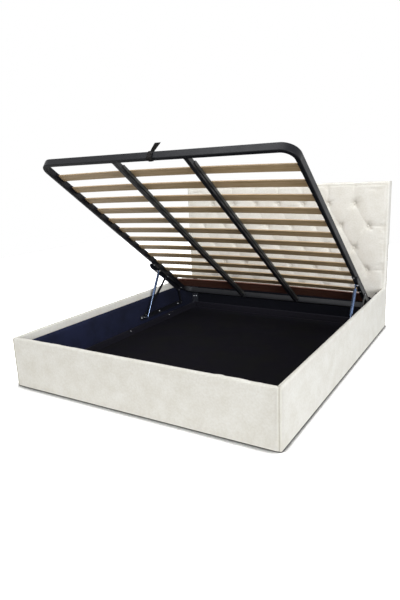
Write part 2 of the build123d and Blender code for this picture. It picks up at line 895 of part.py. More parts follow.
os.makedirs("parts", exist_ok=True)
for name, part in {**root_nodes, **linkage_nodes}.items():
    export_step(part, f"parts/{name}.step")
for name, part in platform_nodes.items():
    export_step(platform_place * part, f"parts/{name}.step")
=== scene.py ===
"""Looks of an ottoman storage bed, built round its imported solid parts.

Metres. The origin is at the middle of the bed's footprint, on the floor. +Y runs from the foot
to the head, +X to the right of a person who stands at the foot, +Z up.
"""

import logging
import math
from dataclasses import dataclass, field
from enum import Enum
from typing import Any, Iterable, Sequence

import bmesh
import bpy
import numpy as np
from mathutils import Euler, Matrix, Vector, noise


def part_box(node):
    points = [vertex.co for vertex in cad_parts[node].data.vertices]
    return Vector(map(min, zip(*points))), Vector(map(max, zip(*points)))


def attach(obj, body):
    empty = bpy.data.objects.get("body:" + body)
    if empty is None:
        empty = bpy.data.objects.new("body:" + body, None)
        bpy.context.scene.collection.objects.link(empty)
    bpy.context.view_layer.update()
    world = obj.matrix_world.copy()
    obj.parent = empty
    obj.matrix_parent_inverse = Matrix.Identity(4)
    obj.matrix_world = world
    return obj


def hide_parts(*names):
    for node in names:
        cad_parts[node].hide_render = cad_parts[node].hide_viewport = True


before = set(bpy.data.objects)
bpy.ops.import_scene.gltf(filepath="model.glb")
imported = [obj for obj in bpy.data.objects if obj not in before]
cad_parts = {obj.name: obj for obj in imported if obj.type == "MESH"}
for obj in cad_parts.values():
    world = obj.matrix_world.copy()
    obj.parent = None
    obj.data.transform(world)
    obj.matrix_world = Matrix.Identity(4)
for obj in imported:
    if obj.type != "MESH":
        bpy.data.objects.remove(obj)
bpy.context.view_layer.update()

logging.basicConfig(level=logging.INFO, format="%(message)s")
log = logging.getLogger("bed")

Faces = Sequence[Sequence[int]]
Place = tuple[float, float, float]

MM = 0.001
SEED = 7
JOIN = 0.01 * MM  # corners nearer than this are one
PLATFORM_TILT_DEG = 35.86  # how far the open platform leans back
SLAT_BOW_M = 29.75  # the radius that the slats are bowed to
MATH = "ShaderNodeMath"
RANGE = "ShaderNodeMapRange"
NOISE = "ShaderNodeTexNoise"
SPLIT = "ShaderNodeSeparateXYZ"
# painted shade: the attribute below darkens the cloth along seams, over the rails' corners and round the
# buttons
PAINTED_SHADE_ATTRIBUTE = "seam_shade"  # the point attribute that says how far a seam deepens the cloth's tone
FACING = "facing"  # the point attribute that says which way a repeated part faces
HEAD_CROWN = 0.74  # how wide a screw head is at its top, as a share of its width below
SOCKET_CUTTER = 0.95  # the middle of the hexagon that cuts the socket, as a share of the head's height


class Body(Enum):
    """The bodies that pieces ride on."""

    BOX = "root"
    PLATFORM = "platform"


class Axis(Enum):
    """The bed's own directions, as columns of a coordinate."""

    ACROSS = 0
    ALONG = 1
    UP = 2


class Hold(Enum):
    """How a sheet of cloth is held."""

    STRETCHED = "stretched"
    LAID = "laid"
    FOLDED = "folded"


def linear(hex_colour: str) -> tuple[float, float, float, float]:
    """Turn an sRGB hex colour to the linear colour that a shader takes.

    Args:
        hex_colour: six hex digits after a hash.

    Returns:
        Red, green, blue and an alpha of 1.
    """
    shares = [int(hex_colour[i : i + 2], 16) / 255 for i in (1, 3, 5)]
    out = [s / 12.92 if s <= 0.04045 else ((s + 0.055) / 1.055) ** 2.4 for s in shares]
    return (out[0], out[1], out[2], 1.0)


def per_metre(size_mm: float) -> float:
    """The texture scale that gives a pattern this size in millimetres."""
    return 1.0 / (size_mm * MM)


def box_of(node: str) -> tuple[list[float], list[float]]:
    """A solid's lowest and highest corner, to the nearest 0.1 mm.

    Args:
        node: the solid's name.

    Returns:
        Both corners, without the crumbs that single precision leaves.
    """
    low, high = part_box(node)
    return [round(v, 4) for v in low], [round(v, 4) for v in high]


def add_node(
    tree: bpy.types.NodeTree, kind: str, inputs: dict[Any, Any] | None = None, **settings: Any
) -> Any:
    """Add a node with its settings, and the values or links of its inputs.

    Args:
        tree: the tree that gets the node.
        kind: Blender's name of the node type.
        inputs: for each input by name or number a value, a socket, or a node whose first output it takes.
        **settings: the node's own properties.

    Returns:
        The new node.
    """
    made = tree.nodes.new(kind)
    for name, value in settings.items():
        setattr(made, name, value)
    for key, value in (inputs or {}).items():
        if isinstance(value, bpy.types.Node):
            value = value.outputs[0]
        if isinstance(value, bpy.types.NodeSocket):
            tree.links.new(value, made.inputs[key])
        else:
            made.inputs[key].default_value = value
    return made


@dataclass(frozen=True)
class Tufting:
    """The diamond pattern of the headboard's buttons, in metres. Every second row has one more."""

    pitch: float = 0.208
    drop: float = 0.168
    first: float = 0.954
    rows: int = 5
    short_row: int = 7

    def last(self) -> float:
        """The height of the lowest row."""
        return self.first - (self.rows - 1) * self.drop

    def outer(self) -> float:
        """How far the outermost buttons stand from the middle."""
        return self.short_row / 2 * self.pitch

    def places(self) -> list[tuple[float, float]]:
        """Work out every button's place.

        Returns:
            The places as (x, z), row by row from the top.
        """
        out = []
        for row in range(self.rows):
            count = self.short_row + row % 2
            z = self.first - row * self.drop
            out += [((i - (count - 1) / 2) * self.pitch, z) for i in range(count)]
        return out


# Finishes


@dataclass
class Surface:
    """A material in the making: its tree, its shader and the object's own coordinates."""

    tree: bpy.types.NodeTree
    shader: Any
    place: Any

    def tint(self, share: Any, colour: str) -> None:
        """Turn the base colour that it has so far towards another.

        Args:
            share: the node or socket that says where the other colour lies.
            colour: the other colour, as sRGB hex.
        """
        base = self.shader.inputs["Base Color"]
        under = base.links[0].from_socket if base.is_linked else tuple(base.default_value)
        mix = add_node(self.tree, "ShaderNodeMix", {0: share, 6: under, 7: linear(colour)}, data_type="RGBA")
        self.tree.links.new(mix.outputs[2], base)

    def relief(self, height: Any, depth_mm: float, sunk: bool = False) -> None:
        """Raise the surface by a pattern, on top of the relief that it has so far.

        Args:
            height: the pattern's node or socket.
            depth_mm: how deep the pattern is at its full range.
            sunk: whether the pattern goes in instead of out.
        """
        normal = self.shader.inputs["Normal"]
        inputs = {"Height": height, "Distance": depth_mm * MM, "Strength": 1.0}
        if normal.is_linked:
            inputs["Normal"] = normal.links[0].from_socket
        bump = add_node(self.tree, "ShaderNodeBump", inputs, invert=sunk)
        self.tree.links.new(bump.outputs[0], normal)


@dataclass(frozen=True)
class Finish:
    """One real material, and how its surface was made."""

    name: str
    slot: str
    colour: str
    roughness: float
    metallic: float = 0.0
    specular: float = 0.5

    def material(self) -> bpy.types.Material:
        """Make the finish's material at its first use.

        Returns:
            The material.
        """
        made = bpy.data.materials.get(self.name)
        if made:
            return made
        made = bpy.data.materials.new(self.name)
        made.use_nodes = True
        tree = made.node_tree
        tree.nodes.clear()
        plain = {
            "Base Color": linear(self.colour),
            "Roughness": self.roughness,
            "Metallic": self.metallic,
            "Specular IOR Level": self.specular,
        }
        shader = add_node(tree, "ShaderNodeBsdfPrincipled", plain)
        add_node(tree, "ShaderNodeOutputMaterial", {"Surface": shader})
        self.dress(Surface(tree, shader, add_node(tree, "ShaderNodeTexCoord").outputs["Object"]))
        return made

    def dress(self, on: Surface) -> None:
        """Add the finish's pattern. A plain finish has none."""


@dataclass(frozen=True)
class WovenCloth(Finish):
    """Plain woven polyester in a linen look: matte, with a soft sheen and faint slubs."""

    thread_mm: float = 2.4  # real threads are 0.6 mm, drawn coarser so that they show
    slub_mm: float = 11.0
    mottle_mm: float = 95.0
    shade: str = "#E1DDD2"
    shade_range: tuple[float, float] = (0.77, 1.47)
    # painted shade: the darker colour that the cloth takes along seams, over the rails' corners and round the
    # buttons
    painted_seam_shade: str = "#B4AE9E"
    relief_mm: float = 0.16
    weave_share: float = 0.25
    slub_share: float = 1.2
    sheen: float = 0.12
    sheen_roughness: float = 0.5

    def dress(self, on: Surface) -> None:
        """Weave the threads, and let the colour drift as brushed cloth does.

        Args:
            on: the material in the making.
        """
        tree = on.tree
        on.shader.inputs["Sheen Weight"].default_value = self.sheen
        on.shader.inputs["Sheen Roughness"].default_value = self.sheen_roughness
        split = add_node(tree, SPLIT, {0: on.place})
        rate = 2 * math.pi / (self.thread_mm * MM)
        waves = []
        for axis in Axis:
            angle = add_node(tree, MATH, {0: split.outputs[axis.value], 1: rate}, operation="MULTIPLY")
            waves.append(add_node(tree, MATH, {0: angle}, operation="SINE"))
        level = add_node(tree, MATH, {0: waves[0], 1: waves[1]}, operation="ADD")
        weave = add_node(tree, MATH, {0: level, 1: waves[2]}, operation="MULTIPLY")
        knots = {"Vector": on.place, "Scale": per_metre(self.slub_mm), "Detail": 4.0, "Roughness": 0.65}
        slub = add_node(tree, NOISE, knots)
        height = {0: weave, 1: self.weave_share, 2: slub}
        on.relief(add_node(tree, MATH, height, operation="MULTIPLY_ADD"), self.relief_mm)
        patches = {"Vector": on.place, "Scale": per_metre(self.mottle_mm), "Detail": 3.0}
        drift = add_node(tree, NOISE, patches)
        both = add_node(tree, MATH, {0: slub, 1: self.slub_share, 2: drift}, operation="MULTIPLY_ADD")
        low, high = self.shade_range
        on.tint(add_node(tree, RANGE, {0: both, 1: low, 2: high}), self.shade)
        # Painted shade: the cloth is darkened along the covers' seams, over the rails' rounded corners and
        # round the headboard's buttons, by the amount that each point carries
        seam = add_node(tree, "ShaderNodeAttribute", attribute_name=PAINTED_SHADE_ATTRIBUTE)
        on.tint(seam.outputs["Fac"], self.painted_seam_shade)


@dataclass(frozen=True)
class TuftedCloth(WovenCloth):
    """The same cloth, with the thin sewn line that runs from button to button."""

    grid: Tufting = Tufting()
    line_mm: float = 3.2  # a real sewn line is 1 mm wide, drawn wider so that it shows
    line_depth_mm: float = 0.8
    # painted shade: the darker colour along the sewn line, standing in for the crease's shade
    line_painted_shade: str = "#A8A294"
    line_share: float = 0.32

    def dress(self, on: Surface) -> None:
        """Add the sewn diagonals to the woven cloth.

        Args:
            on: the material in the making.
        """
        super().dress(on)
        tree, grid = on.tree, self.grid
        split = add_node(tree, SPLIT, {0: on.place})
        across = add_node(tree, MATH, {0: split.outputs[0], 1: 2 / grid.pitch}, operation="MULTIPLY")
        level = add_node(tree, MATH, {0: split.outputs[2], 1: grid.first}, operation="SUBTRACT")
        down = add_node(tree, MATH, {0: level, 1: 1 / grid.drop}, operation="MULTIPLY")
        gaps = []
        for way in ("ADD", "SUBTRACT"):
            family = add_node(tree, MATH, {0: across, 1: down}, operation=way)
            gaps.append(add_node(tree, MATH, {0: family, 1: 1.0}, operation="PINGPONG"))
        nearest = add_node(tree, MATH, {0: gaps[1], 1: gaps[0]}, operation="MINIMUM")
        half_line = self.line_mm / 2 * MM * math.hypot(2 / grid.pitch, 1 / grid.drop)
        line = add_node(
            tree,
            RANGE,
            {0: nearest, 1: 0.0, 2: half_line, 3: 1.0, 4: 0.0},
            interpolation_type="SMOOTHSTEP",
        )
        middle = (grid.first + grid.last()) / 2
        from_middle = add_node(tree, MATH, {0: split.outputs[2], 1: middle}, operation="SUBTRACT")
        inside = line
        for away, limit in ((from_middle.outputs[0], grid.first - middle), (split.outputs[0], grid.outer())):
            size = add_node(tree, MATH, {0: away}, operation="ABSOLUTE")
            mask = add_node(tree, MATH, {0: size, 1: limit}, operation="LESS_THAN")
            inside = add_node(tree, MATH, {0: inside, 1: mask}, operation="MULTIPLY")
        # Painted shade along the sewn line, where the crease is in shade
        share = add_node(tree, MATH, {0: inside, 1: self.line_share}, operation="MULTIPLY")
        on.tint(share, self.line_painted_shade)
        on.relief(inside, self.line_depth_mm, sunk=True)


@dataclass(frozen=True)
class NonWoven(Finish):
    """Spun-bonded lining cloth: dull, pressed with a grid of small dots."""

    dot_mm: float = 4.0  # real dots stand 1.5 mm apart, drawn coarser so that they show
    patch_mm: float = 140.0
    shade: str = "#1B1D26"
    shade_range: tuple[float, float] = (0.42, 0.66)
    relief_mm: float = 0.25
    # painted shade: where the darkening towards the head begins and ends, how far it goes, and its colour
    painted_shade_from_m: float = -0.75
    painted_shade_to_m: float = 0.85
    painted_shade_share: float = 0.0
    painted_shade_tone: str = "#0B0C12"

    def dress(self, on: Surface) -> None:
        """Press the dots and let the dye lie in soft patches.

        Args:
            on: the material in the making.
        """
        tree = on.tree
        grid = {"Vector": on.place, "Scale": per_metre(self.dot_mm), "Randomness": 0.25}
        on.relief(add_node(tree, "ShaderNodeTexVoronoi", grid), self.relief_mm)
        patches = {"Vector": on.place, "Scale": per_metre(self.patch_mm), "Detail": 6.0}
        patch = add_node(tree, NOISE, patches)
        low, high = self.shade_range
        on.tint(add_node(tree, RANGE, {0: patch, 1: low, 2: high}), self.shade)
        if self.painted_shade_share:
            # Painted shade: the cloth darkens along its length towards the head, where the platform and
            # headboard shade it
            along = add_node(tree, SPLIT, {0: on.place}).outputs["Y"]
            run = {0: along, 1: self.painted_shade_from_m, 2: self.painted_shade_to_m, 4: self.painted_shade_share}
            on.tint(add_node(tree, RANGE, run), self.painted_shade_tone)


@dataclass(frozen=True)
class PowderCoat(Finish):
    """Powder paint baked on steel: satin, with fine orange peel and faint handling marks."""

    peel_mm: float = 2.5  # real peel is 1 mm, drawn coarser so that it shows
    mark_mm: float = 60.0
    shade: str = "#5A5B5C"
    shade_range: tuple[float, float] = (0.5, 0.85)
    relief_mm: float = 0.02
    gloss_range: tuple[float, float] = (0.3, 0.7)
    rubbed: float = 0.07
    dulled: float = 0.1

    def dress(self, on: Surface) -> None:
        """Raise the peel, and change the gloss where hands and boxes rubbed it.

        Args:
            on: the material in the making.
        """
        tree = on.tree
        skin = {"Vector": on.place, "Scale": per_metre(self.peel_mm), "Detail": 2.0}
        on.relief(add_node(tree, NOISE, skin), self.relief_mm)
        rubs = {"Vector": on.place, "Scale": per_metre(self.mark_mm), "Detail": 8.0, "Roughness": 0.7}
        marks = add_node(tree, NOISE, rubs)
        low, high = self.gloss_range
        ends = {3: self.roughness - self.rubbed, 4: self.roughness + self.dulled}
        dull = add_node(tree, RANGE, {0: marks, 1: low, 2: high, **ends})
        tree.links.new(dull.outputs[0], on.shader.inputs["Roughness"])
        low, high = self.shade_range
        on.tint(add_node(tree, RANGE, {0: marks, 1: low, 2: high}), self.shade)


@dataclass(frozen=True)
class Plated(Finish):
    """Plated or polished metal, whose gloss clouds over in small patches."""

    bloom_mm: float = 8.0
    bloom_range: tuple[float, float] = (0.3, 0.7)
    spread: float = 0.12
    least: float = 0.03

    def dress(self, on: Surface) -> None:
        """Let the gloss cloud over in patches.

        Args:
            on: the material in the making.
        """
        cloud = {"Vector": on.place, "Scale": per_metre(self.bloom_mm), "Detail": 5.0}
        bloom = add_node(on.tree, NOISE, cloud)
        low, high = self.bloom_range
        clear, dull = max(self.roughness - self.spread, self.least), self.roughness + self.spread
        gloss = add_node(on.tree, RANGE, {0: bloom, 1: low, 2: high, 3: clear, 4: dull})
        on.tree.links.new(gloss.outputs[0], on.shader.inputs["Roughness"])


@dataclass(frozen=True)
class Moulded(Finish):
    """Injection moulded plastic: satin, with the fine grain of a spark-eroded mould."""

    grain_mm: float = 1.6
    relief_mm: float = 0.03

    def dress(self, on: Surface) -> None:
        """Raise the mould's grain.

        Args:
            on: the material in the making.
        """
        grain = {"Vector": on.place, "Scale": per_metre(self.grain_mm), "Detail": 3.0}
        on.relief(add_node(on.tree, NOISE, grain), self.relief_mm)


@dataclass(frozen=True)
class Timber(Finish):
    """Sawn or laminated wood, whose grain runs along one of the bed's directions."""

    run: Axis = Axis.ACROSS
    grain_mm: float = 9.0
    stretch: float = 0.03
    tilt_deg: float = 0.0
    shade: str = "#7A5C3C"
    shade_range: tuple[float, float] = (0.38, 0.66)
    pore: str = "#4E3923"
    pore_mm: float = 2.25
    pore_range: tuple[float, float] = (0.6, 0.72)
    pore_share: float = 0.55
    glue_from: float = 0.86
    glue_share: float = 0.35
    relief_mm: float = 0.08
    veneer_mm: float = 0.0
    bow_radius_m: float = 0.0

    def dress(self, on: Surface) -> None:
        """Draw the grain, its dark pores, and the veneers of a laminated edge.

        Args:
            on: the material in the making.
        """
        tree = on.tree
        level = add_node(tree, "ShaderNodeMapping", {0: on.place, 2: (math.radians(self.tilt_deg), 0.0, 0.0)})
        scale = [1.0, 1.0, 1.0]
        scale[self.run.value] = self.stretch
        along = add_node(tree, "ShaderNodeMapping", {0: level, 3: tuple(scale)})
        lines = {"Vector": along, "Scale": per_metre(self.grain_mm), "Detail": 6.0}
        grain = add_node(tree, NOISE, {**lines, "Roughness": 0.62, "Distortion": 0.6})
        low, high = self.shade_range
        on.tint(add_node(tree, RANGE, {0: grain, 1: low, 2: high}), self.shade)
        specks = {"Vector": along, "Scale": per_metre(self.pore_mm), "Detail": 2.0}
        pores = add_node(tree, NOISE, specks)
        low, high = self.pore_range
        on.tint(add_node(tree, RANGE, {0: pores, 1: low, 2: high, 4: self.pore_share}), self.pore)
        if self.veneer_mm:
            self.veneers(on, level)
        on.relief(grain, self.relief_mm)

    def veneers(self, on: Surface, level: Any) -> None:
        """Darken the glue lines between veneers, which follow the slat's bow.

        Args:
            on: the material in the making.
            level: the node of the coordinate that is turned level with the platform.
        """
        tree = on.tree
        split = add_node(tree, SPLIT, {0: level})
        square = add_node(tree, MATH, {0: split.outputs[0], 1: split.outputs[0]}, operation="MULTIPLY")
        curve = {0: square, 1: 0.5 / self.bow_radius_m, 2: split.outputs[2]}
        depth = add_node(tree, MATH, curve, operation="MULTIPLY_ADD")
        turns = add_node(tree, MATH, {0: depth, 1: per_metre(self.veneer_mm)}, operation="MULTIPLY")
        part = add_node(tree, MATH, {0: turns}, operation="FRACT")
        glue = {0: part, 1: self.glue_from, 2: 1.0, 4: self.glue_share}
        on.tint(add_node(tree, RANGE, glue), self.pore)


@dataclass(frozen=True)
class ChipBoard(Finish):
    """Raw particle board: pressed chips in glue, each with a tone of its own."""

    chip_mm: float = 5.0
    shade: str = "#8E7148"
    relief_mm: float = 0.3
    # painted shade: the height of the board's lowest strip, and its dark colour
    shaded_strip_m: float = 0.014
    strip_painted_shade: str = "#232323"

    def dress(self, on: Surface) -> None:
        """Scatter the chips, and paint the lowest strip dark as painted shade in the gap under the cover's
        hem.

        Args:
            on: the material in the making.
        """
        tree = on.tree
        chips = add_node(tree, "ShaderNodeTexVoronoi", {"Vector": on.place, "Scale": per_metre(self.chip_mm)})
        on.tint(add_node(tree, "ShaderNodeSeparateColor", {0: chips.outputs[1]}), self.shade)
        split = add_node(tree, SPLIT, {0: on.place})
        # Painted shade: the lowest strip is dark, as the gap under the hem is in shadow
        low = {0: split.outputs[2], 1: self.shaded_strip_m}
        on.tint(add_node(tree, MATH, low, operation="LESS_THAN"), self.strip_painted_shade)
        on.relief(chips, self.relief_mm)


@dataclass(frozen=True)
class Webbing(Finish):
    """Woven polypropylene webbing with chevron ribs along it."""

    rib_mm: float = 3.0
    relief_mm: float = 0.5

    def dress(self, on: Surface) -> None:
        """Weave the ribs on the strap's own map, in metres along and across it.

        Args:
            on: the material in the making.
        """
        tree = on.tree
        flat = add_node(tree, "ShaderNodeUVMap", uv_map="strap")
        split = add_node(tree, SPLIT, {0: flat})
        rate = 2 * math.pi / (self.rib_mm * MM)
        along = add_node(tree, MATH, {0: split.outputs[0], 1: rate}, operation="MULTIPLY")
        across = add_node(tree, MATH, {0: split.outputs[1], 1: rate * 0.5}, operation="MULTIPLY")
        side = add_node(tree, MATH, {0: across, 1: math.pi}, operation="PINGPONG")
        both = add_node(tree, MATH, {0: along, 1: side}, operation="ADD")
        on.relief(add_node(tree, MATH, {0: both}, operation="SINE"), self.relief_mm)


# Cream cloth that takes the light evenly, with soft patches where its pile lies differently
UPHOLSTERY = WovenCloth("woven_linen_look_polyester", "upholstery", "#F1EFE8", 0.86)
TUFTED = TuftedCloth("tufted_linen_look_polyester", "upholstery", "#F1EFE8", 0.86)
# A twisted thread, a little glossier and darker than the cloth that it sews
SEAM_THREAD = Finish("bonded_polyester_thread", "upholstery", "#DAD5C8", 0.6)
# Dark blue cloth that swallows the light; painted shade takes it to nearly black towards the headboard
LINING = NonWoven(
    "spunbond_polypropylene_lining",
    "dark_lining",
    "#242943",
    0.92,
    specular=0.15,
    shade="#1E2236",
    painted_shade_share=0.72,
)
# Painted shade: the head lining is a near-black copy of the lining, for the deep shade at the head end of the
# box
HEAD_LINING = NonWoven("spunbond_head_lining", "dark_lining", "#15161D", 0.92, specular=0.1, shade="#13141A")
FLOOR_CLOTH = NonWoven(
    "spunbond_floor_cloth", "floor_cloth", "#131219", 0.94, specular=0.08, shade="#151517", patch_mm=220.0
)
# Black powder paint: a satin streak along each edge, and duller flats
FRAME_PAINT = PowderCoat(
    "black_powder_coated_bar", "grey_steel", "#1C1D20", 0.34, specular=0.42, shade="#252529"
)
RING_PAINT = PowderCoat(
    "black_powder_coated_tube", "grey_steel", "#15161A", 0.38, specular=0.18, shade="#1C1C20"
)
LINK_PAINT = PowderCoat("black_powder_coated_steel", "black_steel", "#141519", 0.36, shade="#1E2026")
# Gas springs, a black tube and a polished chrome rod: the blue in both colours is a painted reflection, a
# sharp bluish streak of light along dark metal
CYLINDER_PAINT = Plated(
    "blue_black_burnished_tube", "cylinder_black", "#5A6A88", 0.12, metallic=1.0, spread=0.015
)
ROD = Plated("polished_chromed_rod", "rod_chrome", "#7D8FAE", 0.2, metallic=1.0, spread=0.01)
# Zinc: bright silver specks on the screws; the corner angles get a darker grey copy of it, as painted shade
# inside the box
ZINC = Plated("bright_zinc_plated_steel", "zinc_steel", "#DFE2E5", 0.28, metallic=1.0)
SHADED_ANGLE_ZINC = Plated("dulled_zinc_angle", "zinc_steel", "#5C5E66", 0.5, metallic=1.0)
# Moulded polypropylene: an even soft gloss without grain lines
CAP_PLASTIC = Moulded("dark_grey_moulded_polypropylene", "grey_plastic", "#3A3A39", 0.45)
HOLDER_PLASTIC = Moulded("black_moulded_polypropylene", "black_plastic", "#1E1819", 0.4)
# Pine under black stain, whose grain only just shows
PINE = {"slot": "stained_batten", "colour": "#1C1B24", "roughness": 0.7, "specular": 0.2}
STAIN = {"shade": "#17161D", "pore": "#100F14"}
BATTEN = Timber("black_stained_pine", **PINE, **STAIN, run=Axis.ALONG)
END_BATTEN = Timber("black_stained_pine_crosswise", **PINE, **STAIN)
# Lacquered beech veneers: warm, with fine dark pores, and glue lines along the slats' edges
LAMINATE = {"slot": "slat_wood", "tilt_deg": PLATFORM_TILT_DEG, "veneer_mm": 1.6, "bow_radius_m": SLAT_BOW_M}
SLAT_WOOD = Timber(
    "laminated_beech_slat", colour="#C4AA87", roughness=0.42, shade="#A78D66", pore="#6A5132", **LAMINATE
)
# Painted shade: the head slat is the same beech, coloured darker and redder for the shade under the headboard
SHADED_HEAD_SLAT_WOOD = Timber(
    "stained_head_slat", colour="#7A4F40", roughness=0.5, shade="#653F33", pore="#40281E", **LAMINATE
)
CORE = ChipBoard("raw_particle_board", "core_board", "#B5966A", 0.8)
# Black webbing: matte, with ribs that catch a little light
STRAP_WEB = Webbing("woven_polypropylene_webbing", "black_webbing", "#100D0C", 0.8, specular=0.2)


# Pieces


def stand(name: str, mesh: bpy.types.Mesh) -> bpy.types.Object:
    """Put a mesh into the scene, at the origin.

    Args:
        name: the object's name.
        mesh: its mesh.

    Returns:
        The new object.
    """
    made = bpy.data.objects.new(name, mesh)
    bpy.context.scene.collection.objects.link(made)
    return made


def new_piece(name: str, points: np.ndarray, faces: Faces, sharp_deg: float = 45.0) -> bpy.types.Object:
    """Make a mesh piece at the origin, smooth but for its sharp edges.

    Args:
        name: the piece's name.
        points: its corners, one row each, in metres.
        faces: its faces, as numbers of corners.
        sharp_deg: edges that turn more than this stay sharp.

    Returns:
        The piece's object.
    """
    mesh = bpy.data.meshes.new(name)
    mesh.from_pydata([tuple(p) for p in points], [], [tuple(f) for f in faces])
    mesh.validate()
    mesh.polygons.foreach_set("use_smooth", [True] * len(mesh.polygons))
    mesh.update()
    mesh.set_sharp_from_angle(angle=math.radians(sharp_deg))
    return stand(name, mesh)


def tidy_shell(piece: bpy.types.Object, sharp_deg: float = 45.0) -> None:
    """Join coincident corners and turn every face outwards.

    Args:
        piece: the piece whose mesh is tidied.
        sharp_deg: edges that turn more than this stay sharp.
    """
    shell = bmesh.new()
    shell.from_mesh(piece.data)
    bmesh.ops.remove_doubles(shell, verts=shell.verts, dist=JOIN)
    bmesh.ops.dissolve_degenerate(shell, edges=shell.edges, dist=JOIN)
    bmesh.ops.recalc_face_normals(shell, faces=shell.faces)
    shell.to_mesh(piece.data)
    shell.free()
    piece.data.set_sharp_from_angle(angle=math.radians(sharp_deg))


def thicken(piece: bpy.types.Object, shown: Vector, thick: float, offset: float) -> None:
    """Turn an open sheet's faces to its shown side, and give it a wall.

    Args:
        piece: the sheet.
        shown: the way that its shown side faces.
        thick: the wall's thickness.
        offset: where the wall lies, from -1 behind the sheet to 1 before it.
    """
    piece.data.update()
    if piece.data.polygons[0].normal.dot(shown) < 0:
        piece.data.flip_normals()
    wall = piece.modifiers.new("thickness", "SOLIDIFY")
    wall.thickness = thick
    wall.offset = offset


def shade_seams(piece: bpy.types.Object, tone: np.ndarray) -> None:
    """Tell the cloth's finish how much painted shade darkens each point.

    Args:
        piece: the piece, with its corners as they were made.
        tone: from 0 for the plain cloth to 1 for the full painted shade, one for each corner.
    """
    held = piece.data.attributes.new(PAINTED_SHADE_ATTRIBUTE, "FLOAT", "POINT")
    held.data.foreach_set("value", tone.astype(np.float32))


def dress_piece(
    piece: bpy.types.Object, finish: Finish, body: Body, stands_for: Iterable[str] = ()
) -> bpy.types.Object:
    """Give a piece its finish, let it ride on a body and stand for its solids.

    Args:
        piece: the piece, already in place.
        finish: its material.
        body: the body that it moves with.
        stands_for: the solids that it is shown instead of.

    Returns:
        The same piece.
    """
    piece.data.materials.clear()
    piece.data.materials.append(finish.material())
    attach(piece, body.value)
    if stands_for:
        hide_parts(*stands_for)
    log.info("piece %s: %d faces, %s", piece.name, len(piece.data.polygons), finish.name)
    return piece


def dress_solids(finish: Finish, *names: str) -> None:
    """Give solids that keep their shape a finish.

    Args:
        finish: their material.
        *names: the solids' names.
    """
    for name in names:
        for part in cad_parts[name].material_slots:
            part.material = finish.material()
        log.info("solid %s: %s", name, finish.name)


def ring_faces(rings: int, around: int, closed: bool = True) -> list[tuple[int, ...]]:
    """Faces of a skin through equal rings of corners.

    Args:
        rings: how many rings there are.
        around: corners in each ring.
        closed: whether each ring's last corner joins its first.

    Returns:
        Four corner numbers for each face.
    """
    out = []
    for i in range(rings - 1):
        for j in range(around if closed else around - 1):
            k = (j + 1) % around
            out.append((i * around + j, i * around + k, (i + 1) * around + k, (i + 1) * around + j))
    return out


def capped_faces(rings: int, around: int) -> list[tuple[int, ...]]:
    """Faces of a closed tube through equal rings of corners: its skin and both caps.

    Args:
        rings: how many rings there are.
        around: corners in each ring.

    Returns:
        The corner numbers of each face.
    """
    last = (rings - 1) * around
    return ring_faces(rings, around) + [tuple(range(around)), tuple(range(last, last + around))]


def soft_noise(points: np.ndarray, size_mm: float, octaves: int = 3) -> np.ndarray:
    """Smooth noise from about -1 to 1 at each point.

    Args:
        points: places in metres, one row each.
        size_mm: the size of its largest swells.
        octaves: how many finer layers it has.

    Returns:
        One value for each point.
    """
    # Each finer layer has half the size of the last, and a little over half its height
    scale, fall, finer = per_metre(size_mm), 0.9, 2.0
    places = [Vector(p) * scale for p in points]
    return np.array([noise.fractal(p, fall, finer, octaves, noise_basis="PERLIN_ORIGINAL") for p in places])


def loose_parts(node: str) -> list[tuple[Vector, Vector]]:
    """The lowest and highest corners of each separate solid of a node.

    Args:
        node: the node's name.

    Returns:
        A pair of corners for each solid.
    """
    shell = bmesh.new()
    shell.from_mesh(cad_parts[node].data)
    bmesh.ops.remove_doubles(shell, verts=shell.verts, dist=JOIN)
    seen: set[int] = set()
    out = []
    for start in shell.verts:
        if start.index in seen:
            continue
        stack, group = [start], []
        seen.add(start.index)
        while stack:
            corner = stack.pop()
            group.append(corner.co.copy())
            for edge in corner.link_edges:
                other = edge.other_vert(corner)
                if other.index not in seen:
                    seen.add(other.index)
                    stack.append(other)
        co = np.array(group)
        out.append((Vector(co.min(0)), Vector(co.max(0))))
    shell.free()
    return out


@dataclass
class Settling:
    """Lets the cover cloth of a padded piece settle, by simulation, over its filling."""

    pressure: float
    shrink: float
    cap: float
    steps: int = 20
    quality: int = 6
    mass: float = 0.35
    damping: float = 4.0
    tension: float = 18.0
    compression: float = 10.0
    shear: float = 6.0
    bending: float = 0.6

    def moves(self, points: np.ndarray, faces: Faces, held: np.ndarray) -> np.ndarray:
        """How far each corner moves, in metres.

        Args:
            points: the cloth's corners before it settles.
            faces: its faces.
            held: whether each corner is sewn, stapled or buttoned down.

        Returns:
            One move for each corner, none larger than the cap.
        """
        cloth = new_piece("settling_cloth", points, faces)
        group = cloth.vertex_groups.new(name="held")
        group.add([int(i) for i in np.nonzero(held)[0]], 1.0, "REPLACE")
        soft = cloth.modifiers.new("cloth", "CLOTH")
        made = soft.settings
        made.quality = self.quality
        made.mass = self.mass
        made.air_damping = self.damping
        made.tension_stiffness = self.tension
        made.compression_stiffness = self.compression
        made.shear_stiffness = self.shear
        made.bending_stiffness = self.bending
        made.vertex_group_mass = group.name
        made.shrink_min = self.shrink
        made.use_pressure = True
        made.uniform_pressure_force = self.pressure
        made.effector_weights.gravity = 0.0
        soft.collision_settings.use_collision = False
        soft.point_cache.frame_end = self.steps
        scene = bpy.context.scene
        for step in range(1, self.steps + 1):
            scene.frame_set(step)
        graph = bpy.context.evaluated_depsgraph_get()
        shown = cloth.evaluated_get(graph)
        now = np.zeros(len(points) * 3)
        shown.to_mesh().vertices.foreach_get("co", now)
        shown.to_mesh_clear()
        scene.frame_set(1)
        bpy.data.objects.remove(cloth)
        move = now.reshape(-1, 3) - points
        size = np.linalg.norm(move, axis=1, keepdims=True)
        log.info("cloth settled by %.1f mm at most", size.max() / MM)
        return move * np.minimum(1.0, self.cap / np.maximum(size, 1e-9))


# Geometry Nodes for what repeats


